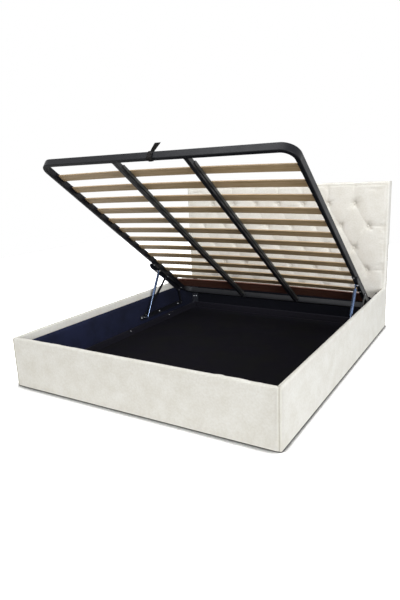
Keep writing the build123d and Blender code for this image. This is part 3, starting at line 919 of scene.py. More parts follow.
@dataclass
class Growth:
    """A Geometry Nodes tree with named inputs, and the piece that it grows."""

    name: str
    sizes: dict[str, float]
    tree: Any = field(init=False, default=None)
    source: Any = field(init=False, default=None)

    def __post_init__(self) -> None:
        """Start the tree with its geometry, its sizes and its material."""
        self.tree = bpy.data.node_groups.new(self.name, "GeometryNodeTree")
        doors = self.tree.interface
        doors.new_socket(name="Geometry", in_out="INPUT", socket_type="NodeSocketGeometry")
        for label, value in self.sizes.items():
            socket = doors.new_socket(name=label, in_out="INPUT", socket_type="NodeSocketFloat")
            socket.default_value = value
        doors.new_socket(name="Finish", in_out="INPUT", socket_type="NodeSocketMaterial")
        doors.new_socket(name="Geometry", in_out="OUTPUT", socket_type="NodeSocketGeometry")
        self.source = add_node(self.tree, "NodeGroupInput")

    def size(self, label: str) -> Any:
        """The socket of a named size."""
        return self.source.outputs[label]

    def turned(self) -> Any:
        """Read which way each point faces.

        Returns:
            The node of the turn that brings a part's top there.
        """
        tree, name = self.tree, {"Name": FACING}
        way = add_node(tree, "GeometryNodeInputNamedAttribute", name, data_type="FLOAT_VECTOR")
        return add_node(tree, "FunctionNodeAlignRotationToVector", {"Vector": way}, axis="Z")

    def repeat(self, part: Any, points: Any, turn: Any) -> None:
        """Set a part on every point, and end the tree: real mesh, smooth, with the finish.

        Args:
            part: the node of the part.
            points: the node or socket of the points.
            turn: the node of each part's turn.
        """
        parts = {"Points": points, "Instance": part, "Rotation": turn}
        placed = add_node(self.tree, "GeometryNodeInstanceOnPoints", parts)
        real = add_node(self.tree, "GeometryNodeRealizeInstances", {0: placed})
        smooth = add_node(self.tree, "GeometryNodeSetShadeSmooth", {0: real})
        finish = {"Geometry": smooth, "Material": self.size("Finish")}
        add_node(self.tree, "NodeGroupOutput", {0: add_node(self.tree, "GeometryNodeSetMaterial", finish)})

    def grow(
        self, name: str, start: bpy.types.Object, finish: Finish, body: Body, stands_for: Iterable[str] = ()
    ) -> bpy.types.Object:
        """Run the tree on a start mesh, and keep the result as a plain piece.

        Args:
            name: the piece's name.
            start: the object that the tree grows from, which is used up.
            finish: the piece's material.
            body: the body that it rides on.
            stands_for: the solids that it is shown instead of.

        Returns:
            The new piece.
        """
        growing = start.modifiers.new(self.name, "NODES")
        growing.node_group = self.tree
        values = {**self.sizes, "Finish": finish.material()}
        for item in self.tree.interface.items_tree:
            if item.in_out == "INPUT" and item.name in values:
                growing[item.identifier] = values[item.name]
        bpy.context.view_layer.update()
        graph = bpy.context.evaluated_depsgraph_get()
        mesh = bpy.data.meshes.new_from_object(start.evaluated_get(graph), depsgraph=graph)
        bpy.data.objects.remove(start)
        mesh.name = name
        if FACING in mesh.attributes:
            mesh.attributes.remove(mesh.attributes[FACING])
        return dress_piece(stand(name, mesh), finish, body, stands_for)


def points_object(points: Sequence[Sequence[float]], facing: Sequence[Sequence[float]]) -> bpy.types.Object:
    """Loose points that each know which way they face.

    Args:
        points: their places.
        facing: one direction for each.

    Returns:
        The object that holds them.
    """
    mesh = bpy.data.meshes.new("places")
    mesh.from_pydata([tuple(p) for p in points], [], [])
    held = mesh.attributes.new(FACING, "FLOAT_VECTOR", "POINT")
    held.data.foreach_set("vector", np.array(facing, np.float32).ravel())
    return stand("places", mesh)


def lines_object(lines: Iterable[Sequence[Sequence[float]]]) -> bpy.types.Object:
    """Lines of edges through points, for what follows a path.

    Args:
        lines: each line's points in order.

    Returns:
        The object that holds them.
    """
    points: list[tuple[float, ...]] = []
    edges: list[tuple[int, int]] = []
    for line in lines:
        first = len(points)
        points += [tuple(p) for p in line]
        edges += [(first + i, first + i + 1) for i in range(len(line) - 1)]
    mesh = bpy.data.meshes.new("lines")
    mesh.from_pydata(points, edges, [])
    return stand("lines", mesh)


def head_growth(name: str, radius: float, height: float) -> Growth:
    """A tree that sets a round screw head with a hexagon socket on each point.

    Args:
        name: the tree's name.
        radius: the head's radius, twice the socket's.
        height: the head's height.

    Returns:
        The finished tree.
    """
    sizes = {"Radius": radius, "Crown": HEAD_CROWN * radius, "Height": height}
    growth = Growth(name, {**sizes, "Socket": radius / 2, "Socket From": SOCKET_CUTTER * height})
    tree = growth.tree
    sides = {"Vertices": 28, "Side Segments": 3, "Depth": growth.size("Height")}
    cone = {**sides, "Radius Top": growth.size("Crown"), "Radius Bottom": growth.size("Radius")}
    head = add_node(tree, "GeometryNodeMeshCone", cone)
    bore = {"Vertices": 6, "Radius": growth.size("Socket"), "Depth": growth.size("Height")}
    hexagon = add_node(tree, "GeometryNodeMeshCylinder", bore)
    rise = add_node(tree, "ShaderNodeCombineXYZ", {2: growth.size("Socket From")})
    raised = add_node(tree, "GeometryNodeTransform", {"Geometry": hexagon, "Translation": rise})
    both = {"Mesh 1": head, "Mesh 2": raised}
    cut = add_node(tree, "GeometryNodeMeshBoolean", both, operation="DIFFERENCE")
    whole_turn = {"Min": 0.0, "Max": 6.28, "Seed": SEED}
    spin = add_node(tree, "FunctionNodeRandomValue", whole_turn, data_type="FLOAT").outputs[1]
    turn = {"Rotation": growth.turned(), "Rotate By": add_node(tree, "ShaderNodeCombineXYZ", {2: spin})}
    spun = add_node(tree, "FunctionNodeRotateRotation", turn, rotation_space="LOCAL")
    growth.repeat(cut, growth.size("Geometry"), spun)
    return growth


def bead_growth(name: str, spacing: float, length: float, width: float, height: float) -> Growth:
    """A tree that lays rounded beads, such as stitches or weld ripples, along lines.

    Args:
        name: the tree's name.
        spacing: from bead to bead.
        length: a bead's length along the line.
        width: its width.
        height: its height.

    Returns:
        The finished tree.
    """
    growth = Growth(name, {"Spacing": spacing, "Length": length, "Width": width, "Height": height})
    tree = growth.tree
    bead = add_node(tree, "GeometryNodeMeshUVSphere", {"Segments": 8, "Rings": 5, "Radius": 0.5})
    sides = {0: growth.size("Width"), 1: growth.size("Height"), 2: growth.size("Length")}
    size = add_node(tree, "ShaderNodeCombineXYZ", sides)
    shaped = add_node(tree, "GeometryNodeTransform", {"Geometry": bead, "Scale": size})
    line = add_node(tree, "GeometryNodeMeshToCurve", {"Mesh": growth.size("Geometry")})
    steps = {"Curve": line, "Length": growth.size("Spacing")}
    spaced = add_node(tree, "GeometryNodeResampleCurve", steps, mode="LENGTH")
    tangent = add_node(tree, "GeometryNodeInputTangent")
    aligned = add_node(tree, "FunctionNodeAlignRotationToVector", {"Vector": tangent}, axis="Z")
    growth.repeat(shaped, spaced, aligned)
    return growth


def button_growth(radius: float, dome: float) -> Growth:
    """A tree that sets a domed, cloth covered button on each point.

    Args:
        radius: the button's radius.
        dome: its whole height.

    Returns:
        The finished tree.
    """
    growth = Growth("covered_buttons", {"Radius": radius, "Dome": dome})
    tree = growth.tree
    round_size = {"Segments": 24, "Rings": 12, "Radius": growth.size("Radius")}
    ball = add_node(tree, "GeometryNodeMeshUVSphere", round_size)
    ratio = add_node(tree, MATH, {0: growth.size("Dome"), 1: growth.size("Radius")}, operation="DIVIDE")
    half = add_node(tree, MATH, {0: ratio, 1: 0.5}, operation="MULTIPLY")
    size = add_node(tree, "ShaderNodeCombineXYZ", {0: 1.0, 1: 1.0, 2: half})
    shaped = add_node(tree, "GeometryNodeTransform", {"Geometry": ball, "Scale": size})
    growth.repeat(shaped, growth.size("Geometry"), growth.turned())
    return growth


# The headboard


@dataclass
class Headboard:
    """The tufted panel: padding with buttons and folds, its wrap and its back cloth."""

    half: float = field(init=False)
    top: float = field(init=False)
    bottom: float = field(init=False)
    front: float = field(init=False)
    back: float = field(init=False)
    grid: Tufting = Tufting()
    edge_round: float = 0.012
    cell: float = 0.0062
    pillow: float = 0.0030
    pillow_reach: float = 0.085
    crease: float = 0.0034
    crease_width: float = 0.0065
    crease_least: float = 0.16
    crease_fall: float = 2.6
    dimple: float = 0.0145
    dimple_reach: float = 0.019
    # painted shade: how much and how far the cloth is darkened round each button, in its dimple
    tuft_painted_shade: float = 0.42
    tuft_fade: float = 0.016
    pucker: float = 0.0011
    pucker_reach: float = 0.0247
    pucker_ridges: tuple[int, int] = (7, 11)
    pucker_second: float = 0.6
    pucker_turn: tuple[float, float] = (40.0, 25.0)
    border: float = 0.023
    border_groove: float = 0.0022
    border_width: float = 0.005
    button_radius: float = 0.0105
    button_dome: float = 0.008
    button_sunk: float = 0.3
    button_seat: float = 0.7
    button_hold: float = 1.15
    lined_height: float = 0.275
    stitch_from: float = 0.33
    stitch_lift: float = 0.0006
    wrap_thick: float = 0.0032
    wrap_gap: float = 0.0004
    wrap_inset: float = 0.0005
    wrap_foot: float = 0.004
    wrap_step: float = 0.02
    cloth_thick: float = 0.0008
    cloth_inset: float = 0.006
    cloth_foot: float = 0.01
    cloth_ripple: float = 0.0012
    cloth_ripple_mm: float = 240.0
    cloth_edge: float = 0.04
    cloth_grid: tuple[int, int] = (60, 40)
    staple_rim: float = 0.012
    staple_lift: float = 0.00176

    def __post_init__(self) -> None:
        """Take the padding's outer size from its solid."""
        low, high = box_of("headboard_cushion")
        self.half, self.top = high[0], high[2]
        self.front, self.back, self.bottom = low[1], high[1], low[2]

    def folds(self) -> list[tuple[tuple[float, float], tuple[float, float]]]:
        """Find every fold: the diagonals, and the creases to the top and the sides.

        Returns:
            Two places as (x, z) for each.
        """
        grid, tufts = self.grid, self.grid.places()
        lines = []
        for x, z in tufts:
            for step in (-grid.pitch / 2, grid.pitch / 2):
                for other in tufts:
                    if abs(other[0] - x - step) < self.cell and abs(z - grid.drop - other[1]) < self.cell:
                        lines.append(((x, z), other))
        lines += [((x, z), (x, self.top)) for x, z in tufts if abs(z - grid.first) < self.cell]
        sides = [(x, z) for x, z in tufts if abs(abs(x) - grid.outer()) < self.cell]
        return lines + [((x, z), (math.copysign(self.half, x), z)) for x, z in sides]

    def hollow(self, x: np.ndarray, z: np.ndarray) -> np.ndarray:
        """How far the padding is drawn in at each place of its front.

        Args:
            x: places across.
            z: places up.

        Returns:
            Depths in metres, 0 on a pillow's crown.
        """
        near = np.full(x.shape, np.inf)
        groove = np.zeros(x.shape)
        for (x0, z0), (x1, z1) in self.folds():
            run = math.hypot(x1 - x0, z1 - z0)
            ux, uz = (x1 - x0) / run, (z1 - z0) / run
            along = np.clip((x - x0) * ux + (z - z0) * uz, 0, run)
            off = np.hypot(x - x0 - along * ux, z - z0 - along * uz)
            near = np.minimum(near, off)
            to_edge = abs(z1 - self.top) < self.cell or abs(abs(x1) - self.half) < self.cell
            share = along / run
            hold = 1 - share if to_edge else np.abs(2 * share - 1)
            strength = self.crease_least + (1 - self.crease_least) * hold**self.crease_fall
            groove = np.maximum(groove, strength * np.exp(-off / self.crease_width))
        depth = self.pillow * np.clip(1 - near / self.pillow_reach, 0, 1) ** 2 + self.crease * groove
        for x0, z0 in self.grid.places():
            past = np.maximum(np.hypot(x - x0, z - z0) - self.button_seat * self.button_radius, 0)
            depth += self.dimple * np.exp(-past / self.dimple_reach)
            # Small ridges run out from each button, turned differently at each by its own place
            around = np.arctan2(z - z0, x - x0)
            turn = self.pucker_turn[0] * x0 + self.pucker_turn[1] * z0
            few, many = self.pucker_ridges
            ridges = np.cos(few * around + turn)
            ridges += self.pucker_second * np.cos(many * around - 2 * turn)
            depth += self.pucker * ridges * (past > 0) * np.exp(-past / self.pucker_reach)
        rim = np.minimum(self.half - np.abs(x), self.top - z)
        depth += self.border_groove * np.exp(-(((rim - self.border) / self.border_width) ** 2))
        return depth

    def stations(self, low: float, high: float, cell: float) -> np.ndarray:
        """Even steps along one direction of the skin, round both rounded edges.

        Args:
            low: the front's first edge.
            high: its other edge.
            cell: the size of a step.

        Returns:
            Places along the skin, past the flat by a quarter turn at each end.
        """
        over = self.edge_round * math.pi / 2
        start, end = low + self.edge_round - over, high - self.edge_round + over
        return np.linspace(start, end, int(round((end - start) / cell)) + 1)

    def bent(self, along: np.ndarray, low: float, high: float) -> tuple[np.ndarray, np.ndarray]:
        """Bend places along the skin round the edges.

        Args:
            along: places along the skin.
            low: the front's first edge.
            high: its other edge.

        Returns:
            Places in the front's plane, and how far back each lies.
        """
        r = self.edge_round
        lo, hi = low + r, high - r
        angle = np.where(along < lo, lo - along, np.where(along > hi, along - hi, 0.0)) / r
        sign = np.where(along < lo, -1.0, 1.0)
        flat = np.clip(along, lo, hi)
        return flat + sign * r * np.sin(angle), r * (1 - np.cos(angle))

    def skin(self, cell: float) -> np.ndarray:
        """The front of the padding before the cloth settles.

        Args:
            cell: the size of a step.

        Returns:
            Places, as rows across and columns up.
        """
        x, back_x = self.bent(self.stations(-self.half, self.half, cell), -self.half, self.half)
        z, back_z = self.bent(self.stations(self.bottom, self.top, cell), self.bottom, self.top)
        xx, zz = np.meshgrid(x, z, indexing="ij")
        bx, bz = np.meshgrid(back_x, back_z, indexing="ij")
        # The roundings of the side and the top run into each other at the corners
        back = np.minimum((bx**6 + bz**6) ** (1 / 6), self.edge_round)
        fade = np.clip(1 - back / self.edge_round, 0, 1) ** 0.5
        return np.stack([xx, self.front + back + self.hollow(xx, zz) * fade, zz], axis=-1)

    def skin_faces(self, rows: int, columns: int) -> list[tuple[int, ...]]:
        """Faces of the skin, which look out of the headboard's front.

        Args:
            rows: places across.
            columns: places up.

        Returns:
            Four corner numbers for each face.
        """
        return [
            (i * columns + j, (i + 1) * columns + j, (i + 1) * columns + j + 1, i * columns + j + 1)
            for i in range(rows - 1)
            for j in range(columns - 1)
        ]

    def from_tuft(self, points: np.ndarray) -> np.ndarray:
        """How far each point stands from the nearest button, seen from the front.

        Args:
            points: places, one row each.

        Returns:
            One distance for each.
        """
        tufts = np.array(self.grid.places())
        return np.min(np.hypot(points[:, None, 0] - tufts[:, 0], points[:, None, 2] - tufts[:, 1]), axis=1)

    def settled(self, cell: float) -> np.ndarray:
        """Let the cover cloth settle over the padding between its buttons.

        Args:
            cell: the size of a step of the cloth.

        Returns:
            How far each place of the skin moves.
        """
        rest = self.skin(cell)
        points = rest.reshape(-1, 3)
        held = self.from_tuft(points) < self.button_hold * self.button_radius
        held |= (np.abs(points[:, 0]) > self.half - self.border) | (points[:, 2] > self.top - self.border)
        held |= points[:, 2] < self.lined_height
        settling = Settling(pressure=0.35, shrink=-0.02, cap=0.0016)
        return settling.moves(points, self.skin_faces(*rest.shape[:2]), held).reshape(rest.shape)

    def spread(self, move: np.ndarray, rows: int, columns: int) -> np.ndarray:
        """Spread the moves of the coarse cloth over the fine skin.

        Args:
            move: the coarse moves, as rows across and columns up.
            rows: the skin's places across.
            columns: its places up.

        Returns:
            One move for each place of the skin.
        """
        u = np.linspace(0, move.shape[0] - 1, rows)
        v = np.linspace(0, move.shape[1] - 1, columns)
        u0 = np.minimum(u.astype(int), move.shape[0] - 2)
        v0 = np.minimum(v.astype(int), move.shape[1] - 2)
        fu, fv = (u - u0)[:, None, None], (v - v0)[None, :, None]
        low = move[u0][:, v0] * (1 - fu) + move[u0 + 1][:, v0] * fu
        high = move[u0][:, v0 + 1] * (1 - fu) + move[u0 + 1][:, v0 + 1] * fu
        return low * (1 - fv) + high * fv

    def padding(self) -> bpy.types.Object:
        """Build the tufted padding as one closed shell.

        Returns:
            The piece.
        """
        skin = self.skin(self.cell)
        rows, columns = skin.shape[:2]
        skin = skin + self.spread(self.settled(2 * self.cell), rows, columns)
        points = skin.reshape(-1, 3)
        faces = self.skin_faces(rows, columns)
        loop = [i * columns for i in range(rows)]
        loop += [(rows - 1) * columns + j for j in range(1, columns)]
        loop += [i * columns + columns - 1 for i in range(rows - 2, -1, -1)]
        loop += [j for j in range(columns - 2, 0, -1)]
        rings = [loop]
        walls = [points]
        for y in ((self.front + self.edge_round + self.back) / 2, self.back):
            ring = points[loop].copy()
            ring[:, 1] = y
            first = len(points) + len(loop) * (len(walls) - 1)
            rings.append(list(range(first, first + len(loop))))
            walls.append(ring)
        for near, far in zip(rings, rings[1:]):
            for k in range(len(loop)):
                n = (k + 1) % len(loop)
                faces.append((near[k], far[k], far[n], near[n]))
        faces.append(tuple(rings[-1]))
        shell = np.vstack(walls)
        piece = new_piece("headboard_padding", shell, faces)
        # Painted shade round each button, where the dimple is
        shade_seams(piece, self.tuft_painted_shade * np.exp(-self.from_tuft(shell) / self.tuft_fade))
        tidy_shell(piece, sharp_deg=60.0)
        dress_piece(piece, TUFTED, Body.BOX, ["headboard_cushion"])
        return piece

    def buttons(self) -> bpy.types.Object:
        """Cover the buttons in cloth, and draw each into its dimple.

        Returns:
            The piece of all buttons.
        """
        places = []
        for x, z in self.grid.places():
            depth = float(self.hollow(np.array([x]), np.array([z]))[0])
            places.append((x, self.front + depth - self.button_sunk * self.button_dome, z))
        growth = button_growth(self.button_radius, self.button_dome)
        start = points_object(places, [(0.0, -1.0, 0.0)] * len(places))
        return growth.grow("headboard_tuft_buttons", start, UPHOLSTERY, Body.BOX, ["headboard_buttons"])

    def edge_stitches(self) -> bpy.types.Object:
        """Sew the line of stitches in the groove round the border.

        Returns:
            The piece of all stitches.
        """
        x, z, low = self.half - self.border, self.top - self.border, self.stitch_from
        y = self.front + self.border_groove + self.stitch_lift
        path = [(-x, y, low), (-x, y, z), (x, y, z), (x, y, low)]
        growth = bead_growth("border_stitches", spacing=0.009, length=0.0065, width=0.0016, height=0.0012)
        return growth.grow("border_stitching", lines_object([path]), SEAM_THREAD, Body.BOX)

    def wrap(self) -> bpy.types.Object:
        """Wrap the strip of cloth round the sides and top of the headboard's frame.

        Returns:
            The piece.
        """
        low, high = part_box("headboard_frame")
        xs, top = high.x + self.wrap_gap, high.z + self.wrap_gap
        path = [(-xs, self.wrap_foot), (-xs, top), (xs, top), (xs, self.wrap_foot)]
        line: list[tuple[float, float]] = []
        for (x0, z0), (x1, z1) in zip(path, path[1:]):
            count = int(math.hypot(x1 - x0, z1 - z0) / self.wrap_step)
            line += [(x0 + (x1 - x0) * i / count, z0 + (z1 - z0) * i / count) for i in range(count)]
        line.append(path[-1])
        y0, y1 = low.y + self.wrap_inset, high.y - self.wrap_inset
        thick = self.wrap_thick
        section = ((y0, 0.0), (y0, thick), ((y0 + y1) / 2, thick), (y1, thick), (y1, 0.0))
        corners = []
        for x, z in line:
            out_x = math.copysign(1.0, x) if abs(x) >= xs - JOIN else 0.0
            out_z = 1.0 if z >= top - JOIN else 0.0
            corners += [(x + out_x * lift, y, z + out_z * lift) for y, lift in section]
        piece = new_piece("headboard_wrap", np.array(corners), capped_faces(len(line), len(section)))
        tidy_shell(piece)
        dress_piece(piece, UPHOLSTERY, Body.BOX)
        return piece

    def back_cloth(self) -> bpy.types.Object:
        """Staple the thin dust cloth over the back.

        Returns:
            The piece of the staples.
        """
        low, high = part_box("headboard_frame")
        inset, across, up = self.cloth_inset, *self.cloth_grid
        xs = np.linspace(low.x + inset, high.x - inset, across)
        zs = np.linspace(self.cloth_foot, high.z - inset, up)
        grid = np.array([(x, high.y, z) for x in xs for z in zs])
        ripple = self.cloth_ripple * (1 + soft_noise(grid, self.cloth_ripple_mm))
        x, z = grid[:, 0], grid[:, 2]
        edge = np.minimum.reduce([x - xs[0], xs[-1] - x, z - zs[0], zs[-1] - z])
        grid[:, 1] += self.cloth_thick + ripple * np.clip(edge / self.cloth_edge, 0, 1)
        piece = new_piece("headboard_back_cloth", grid, ring_faces(across, up, closed=False))
        thicken(piece, Vector((0, 1, 0)), self.cloth_thick, 0.0)
        dress_piece(piece, LINING, Body.BOX)
        rim, y = self.staple_rim, high.y + self.staple_lift
        left, right, foot, top = xs[0] + rim, xs[-1] - rim, zs[0] + rim, zs[-1] - rim
        path = [(left, y, foot), (left, y, top), (right, y, top), (right, y, foot)]
        staples = bead_growth("staples", spacing=0.045, length=0.011, width=0.0014, height=0.0014)
        return staples.grow("back_cloth_staples", lines_object([path]), ZINC, Body.BOX)

    def build(self) -> None:
        """Build and dress the whole headboard."""
        self.padding()
        self.buttons()
        self.edge_stitches()
        self.wrap()
        self.back_cloth()
        dress_solids(CORE, "headboard_frame")


# The box


@dataclass
class Strands:
    """The plan of one cover: where each of its rings crosses each strand of its section."""

    places: np.ndarray
    seam_gap: np.ndarray
    corner_gap: np.ndarray
    end_gap: np.ndarray
    # how strongly painted shade darkens the cloth beside the seam
    corner_painted_shade: float


@dataclass
class PanelCovers:
    """The padded covers of the two rails and the footboard, with their hems and seams."""

    half: float = field(init=False)
    head: float = field(init=False)
    foot: float = field(init=False)
    height: float = field(init=False)
    depth: float = field(init=False)
    board_in: float = field(init=False)
    board_out: float = field(init=False)
    board_top: float = field(init=False)
    fold_bottom: float = field(init=False)
    ease: float = 0.0002
    skim: float = 0.001
    hem_bottom: float = 0.0025
    hem_roll: float = 0.0035
    hem_out: float = 0.0010
    hem_notch: float = 0.0014
    hem_rise: float = 0.0012
    hem_points: int = 7
    hem_turn_deg: float = 25.0
    face_rise: float = 0.006
    face_points: int = 19
    top_points: int = 13
    fold_in: float = 0.0008
    fold_lip: float = 0.002
    fold_points: int = 5
    corner: float = 0.012
    bend: int = 9
    seam_depth: float = 0.0032
    seam_reach: float = 0.0035
    seam_line: float = 0.0025
    seam_fade: float = 0.035
    # Painted shade: a dark line at each seam, and a broader darkening beside it, strong over the rails'
    # rounded corners where they face the light
    painted_seam_shade: float = 0.45
    rail_painted_shade: float = 0.38
    footboard_painted_shade: float = 0.05
    droop: float = 0.0050
    droop_reach: float = 0.16
    droop_from: float = 0.2
    end_round: float = 0.006
    bulge: float = 0.0016
    swell: float = 0.0011
    swell_mm: float = 260.0
    small_swell_mm: float = 90.0
    small_share: float = 0.3
    small_shift: float = 5.0  # sets the small swells apart from the large ones
    swell_from: float = 0.02
    swell_rise: float = 0.05
    step: float = 0.022
    first_step: float = 0.02
    near: tuple[float, ...] = (0.0, 0.002, 0.0045, 0.008, 0.013)
    held_edge: float = 0.01
    stitch_rise: float = 0.006
    stitch_lift: float = 0.0003
    stitch_end: float = 0.006
    stitch_far: float = 0.01

    def __post_init__(self) -> None:
        """Take the covers' outer sizes from their solids, and the boards' places in them."""
        low, high = box_of("side_rail_right_cover")
        self.half, self.head, self.height = high
        self.depth = round(high[0] - low[0], 4)
        board_low, board_high = box_of("side_rail_right_board")
        self.board_in = round(board_low[0] - low[0], 4)
        self.board_out = round(board_high[0] - low[0], 4)
        self.board_top = board_high[2]
        self.foot = box_of("footboard_cover")[0][1]
        self.fold_bottom = box_of("lining_right")[1][2]

    def section(self) -> np.ndarray:
        """Draw the cover's outline, from its hem under the board, over the top, and back in.

        Returns:
            Places as (t, z): t out from the panel's inner face, z up.
        """
        r, roll, ease = self.depth / 2, self.hem_roll, self.ease
        out = [(self.board_out + ease, self.hem_bottom)]
        for k in range(self.hem_points):
            angle = math.radians(self.hem_turn_deg * k - 90)
            t = self.depth - roll + self.hem_out + roll * math.cos(angle)
            out.append((t, self.hem_bottom + roll + roll * math.sin(angle)))
        hem_top = self.hem_bottom + 2 * roll
        out.append((self.depth - self.hem_notch, hem_top + self.hem_rise))
        low, high = hem_top + self.face_rise, self.height - r
        for share in np.linspace(0, 1, self.face_points):
            out.append((self.depth + self.bulge * math.sin(math.pi * share), low + (high - low) * share))
        for angle in np.linspace(0, math.pi, self.top_points)[1:-1]:
            out.append((r + r * math.cos(angle), high + r * math.sin(angle)))
        lip = self.fold_bottom + self.fold_lip
        out += [(0.0, z) for z in np.linspace(high, lip, self.fold_points)]
        out += [(self.fold_in, self.fold_bottom), (self.board_in - ease, self.fold_bottom)]
        over = self.board_top + ease
        return np.array(out + [(self.board_in - ease, over), (self.board_out + ease, over)])

    def rail(self, side: int) -> Strands:
        """Plan a rail's cover, from the headboard round to the seam on the bed's foot.

        Args:
            side: 1 for the right rail, -1 for the left.

        Returns:
            Its strands.
        """
        run = self.head - self.foot - self.corner
        first = np.array(self.near) / run
        along = np.concatenate([first, np.linspace(self.first_step / run, 1.0, int(run / self.step))])
        turns = np.linspace(0, math.pi / 2, self.bend)[1:]
        strands = []
        for t, _ in self.section():
            inset = self.depth - t
            r = max(self.corner - inset, 0.0)
            x, end = self.half - inset, self.foot + inset + r
            straight = np.stack([np.full(len(along), x), self.head + (end - self.head) * along], axis=1)
            bent = np.stack([x - r + r * np.cos(turns), end - r * np.sin(turns)], axis=1)
            strands.append(np.vstack([straight, bent]) * np.array([side, 1.0]))
        arc = self.corner * (math.pi / 2 - turns)
        seam = np.concatenate([run * (1 - along) + self.corner * math.pi / 2, arc])
        corner = np.concatenate([run * (1 - along), np.zeros(len(turns))])
        ends = np.concatenate([run * along, np.full(len(turns), run)])
        return Strands(np.stack(strands, axis=1), seam, corner, ends, self.rail_painted_shade)

    def footboard(self) -> Strands:
        """Plan the footboard's cover, from seam to seam.

        Returns:
            Its strands.
        """
        run = 2 * (self.half - self.corner)
        first = np.array(self.near) / run
        middle = np.linspace(self.first_step / run, 1 - self.first_step / run, int(run / self.step))
        along = np.concatenate([first, middle, (1 - first)[::-1]])
        strands = []
        for t, _ in self.section():
            inset = self.depth - t
            edge = self.half - inset - max(self.corner - inset, 0.0)
            strands.append(np.stack([edge * (2 * along - 1), np.full(len(along), self.foot + inset)], axis=1))
        seam = run * np.minimum(along, 1 - along)
        return Strands(np.stack(strands, axis=1), seam, seam, np.full(len(along), run), self.footboard_painted_shade)

    def outward(self, points: np.ndarray) -> np.ndarray:
        """The outward direction of each place of a cover, from its neighbours.

        Args:
            points: places, as rings along the cover and strands round it.

        Returns:
            A unit direction for each place.
        """
        along = np.gradient(points, axis=0)
        around = np.roll(points, -1, axis=1) - np.roll(points, 1, axis=1)
        out = np.cross(along, around)
        out /= np.maximum(np.linalg.norm(out, axis=-1, keepdims=True), 1e-9)
        middle = points.mean(axis=1, keepdims=True)
        inwards = ((points - middle) * out).sum(axis=-1).mean() < 0
        return -out if inwards else out

    def tone(self, strands: Strands) -> np.ndarray:
        """How much painted shade darkens the cloth along a cover's seams, and beside them over a rail's
        rounded corner.

        Args:
            strands: the cover's plan.

        Returns:
            One tone for each ring.
        """
        at_seam = self.painted_seam_shade * np.exp(-strands.seam_gap / self.seam_line)
        return at_seam + strands.corner_painted_shade * np.exp(-strands.seam_gap / self.seam_fade)

    def cover(self, name: str, node: str, strands: Strands) -> bpy.types.Object:
        """Lay a padded cover over its board.

        Args:
            name: the piece's name.
            node: the solid that it stands for.
            strands: its plan.

        Returns:
            The piece, with its padding's swells and its seams drawn in.
        """
        section = self.section()
        ts, zs = section.T
        rings, around = strands.places.shape[:2]
        points = np.zeros((rings, around, 3))
        points[..., :2] = strands.places
        points[..., 2] = zs
        # What lies against the board isn't shown, and keeps its place
        shown = (ts > self.board_out + self.skim) | (zs > self.board_top + 4 * self.skim)
        shown &= (ts >= self.skim) | (zs >= self.fold_bottom + self.skim)
        out = self.outward(points)
        flat = points.reshape(-1, 3)
        swell = (1 - self.small_share) * soft_noise(flat, self.swell_mm)
        swell += self.small_share * soft_noise(flat + self.small_shift, self.small_swell_mm)
        lift = self.swell * swell.reshape(rings, around)
        lift *= np.clip((zs - self.swell_from) / self.swell_rise, 0, 1) * shown
        lift -= self.seam_depth * np.exp(-strands.seam_gap / self.seam_reach)[:, None] * shown
        ends = np.clip(1 - strands.end_gap / self.end_round, 0, 1)
        lift -= self.end_round / 2 * (1 - np.sqrt(1 - ends**2))[:, None] * shown
        points += out * lift[..., None]
        upper = np.clip((zs - self.droop_from) / (self.height - self.droop_from), 0, 1) ** 2 * shown
        near_corner = np.exp(-((strands.corner_gap / self.droop_reach) ** 2))[:, None]
        points[..., 2] -= self.droop * near_corner * upper
        faces = capped_faces(rings, around)
        flat = points.reshape(-1, 3)
        held = np.tile(~shown | (zs < self.swell_from), (rings, 1))
        held |= (np.minimum(strands.seam_gap, strands.end_gap) < self.held_edge)[:, None]
        flat = flat + Settling(pressure=0.6, shrink=-0.006, cap=0.0022).moves(flat, faces, held.ravel())
        piece = new_piece(name, flat, faces)
        # Painted shade along the seams and over the rails' rounded corners
        shade_seams(piece, np.repeat(self.tone(strands), around))
        tidy_shell(piece)
        dress_piece(piece, UPHOLSTERY, Body.BOX, [node])
        return piece

    def stitches(self) -> bpy.types.Object:
        """Sew the line along the fold's lower edge, inside the box.

        Returns:
            The piece of all stitches.
        """
        z, lift = self.fold_bottom + self.stitch_rise, self.stitch_lift
        inner, near, far = self.half - self.depth, self.foot + self.depth, self.head - self.stitch_far
        lines = [[(x, far, z), (x, near + self.stitch_end, z)] for x in (inner - lift, lift - inner)]
        end = inner - self.stitch_end
        lines.append([(-end, near + lift, z), (end, near + lift, z)])
        growth = bead_growth("fold_stitches", spacing=0.0075, length=0.0055, width=0.0011, height=0.0011)
        return growth.grow("fold_stitching", lines_object(lines), SEAM_THREAD, Body.BOX)

    def build(self) -> None:
        """Build the three covers, and dress the boards in them."""
        self.cover("side_rail_right_padding", "side_rail_right_cover", self.rail(1))
        self.cover("side_rail_left_padding", "side_rail_left_cover", self.rail(-1))
        self.cover("footboard_padding", "footboard_cover", self.footboard())
        dress_solids(CORE, "side_rail_right_board", "side_rail_left_board", "footboard_board")
        self.stitches()


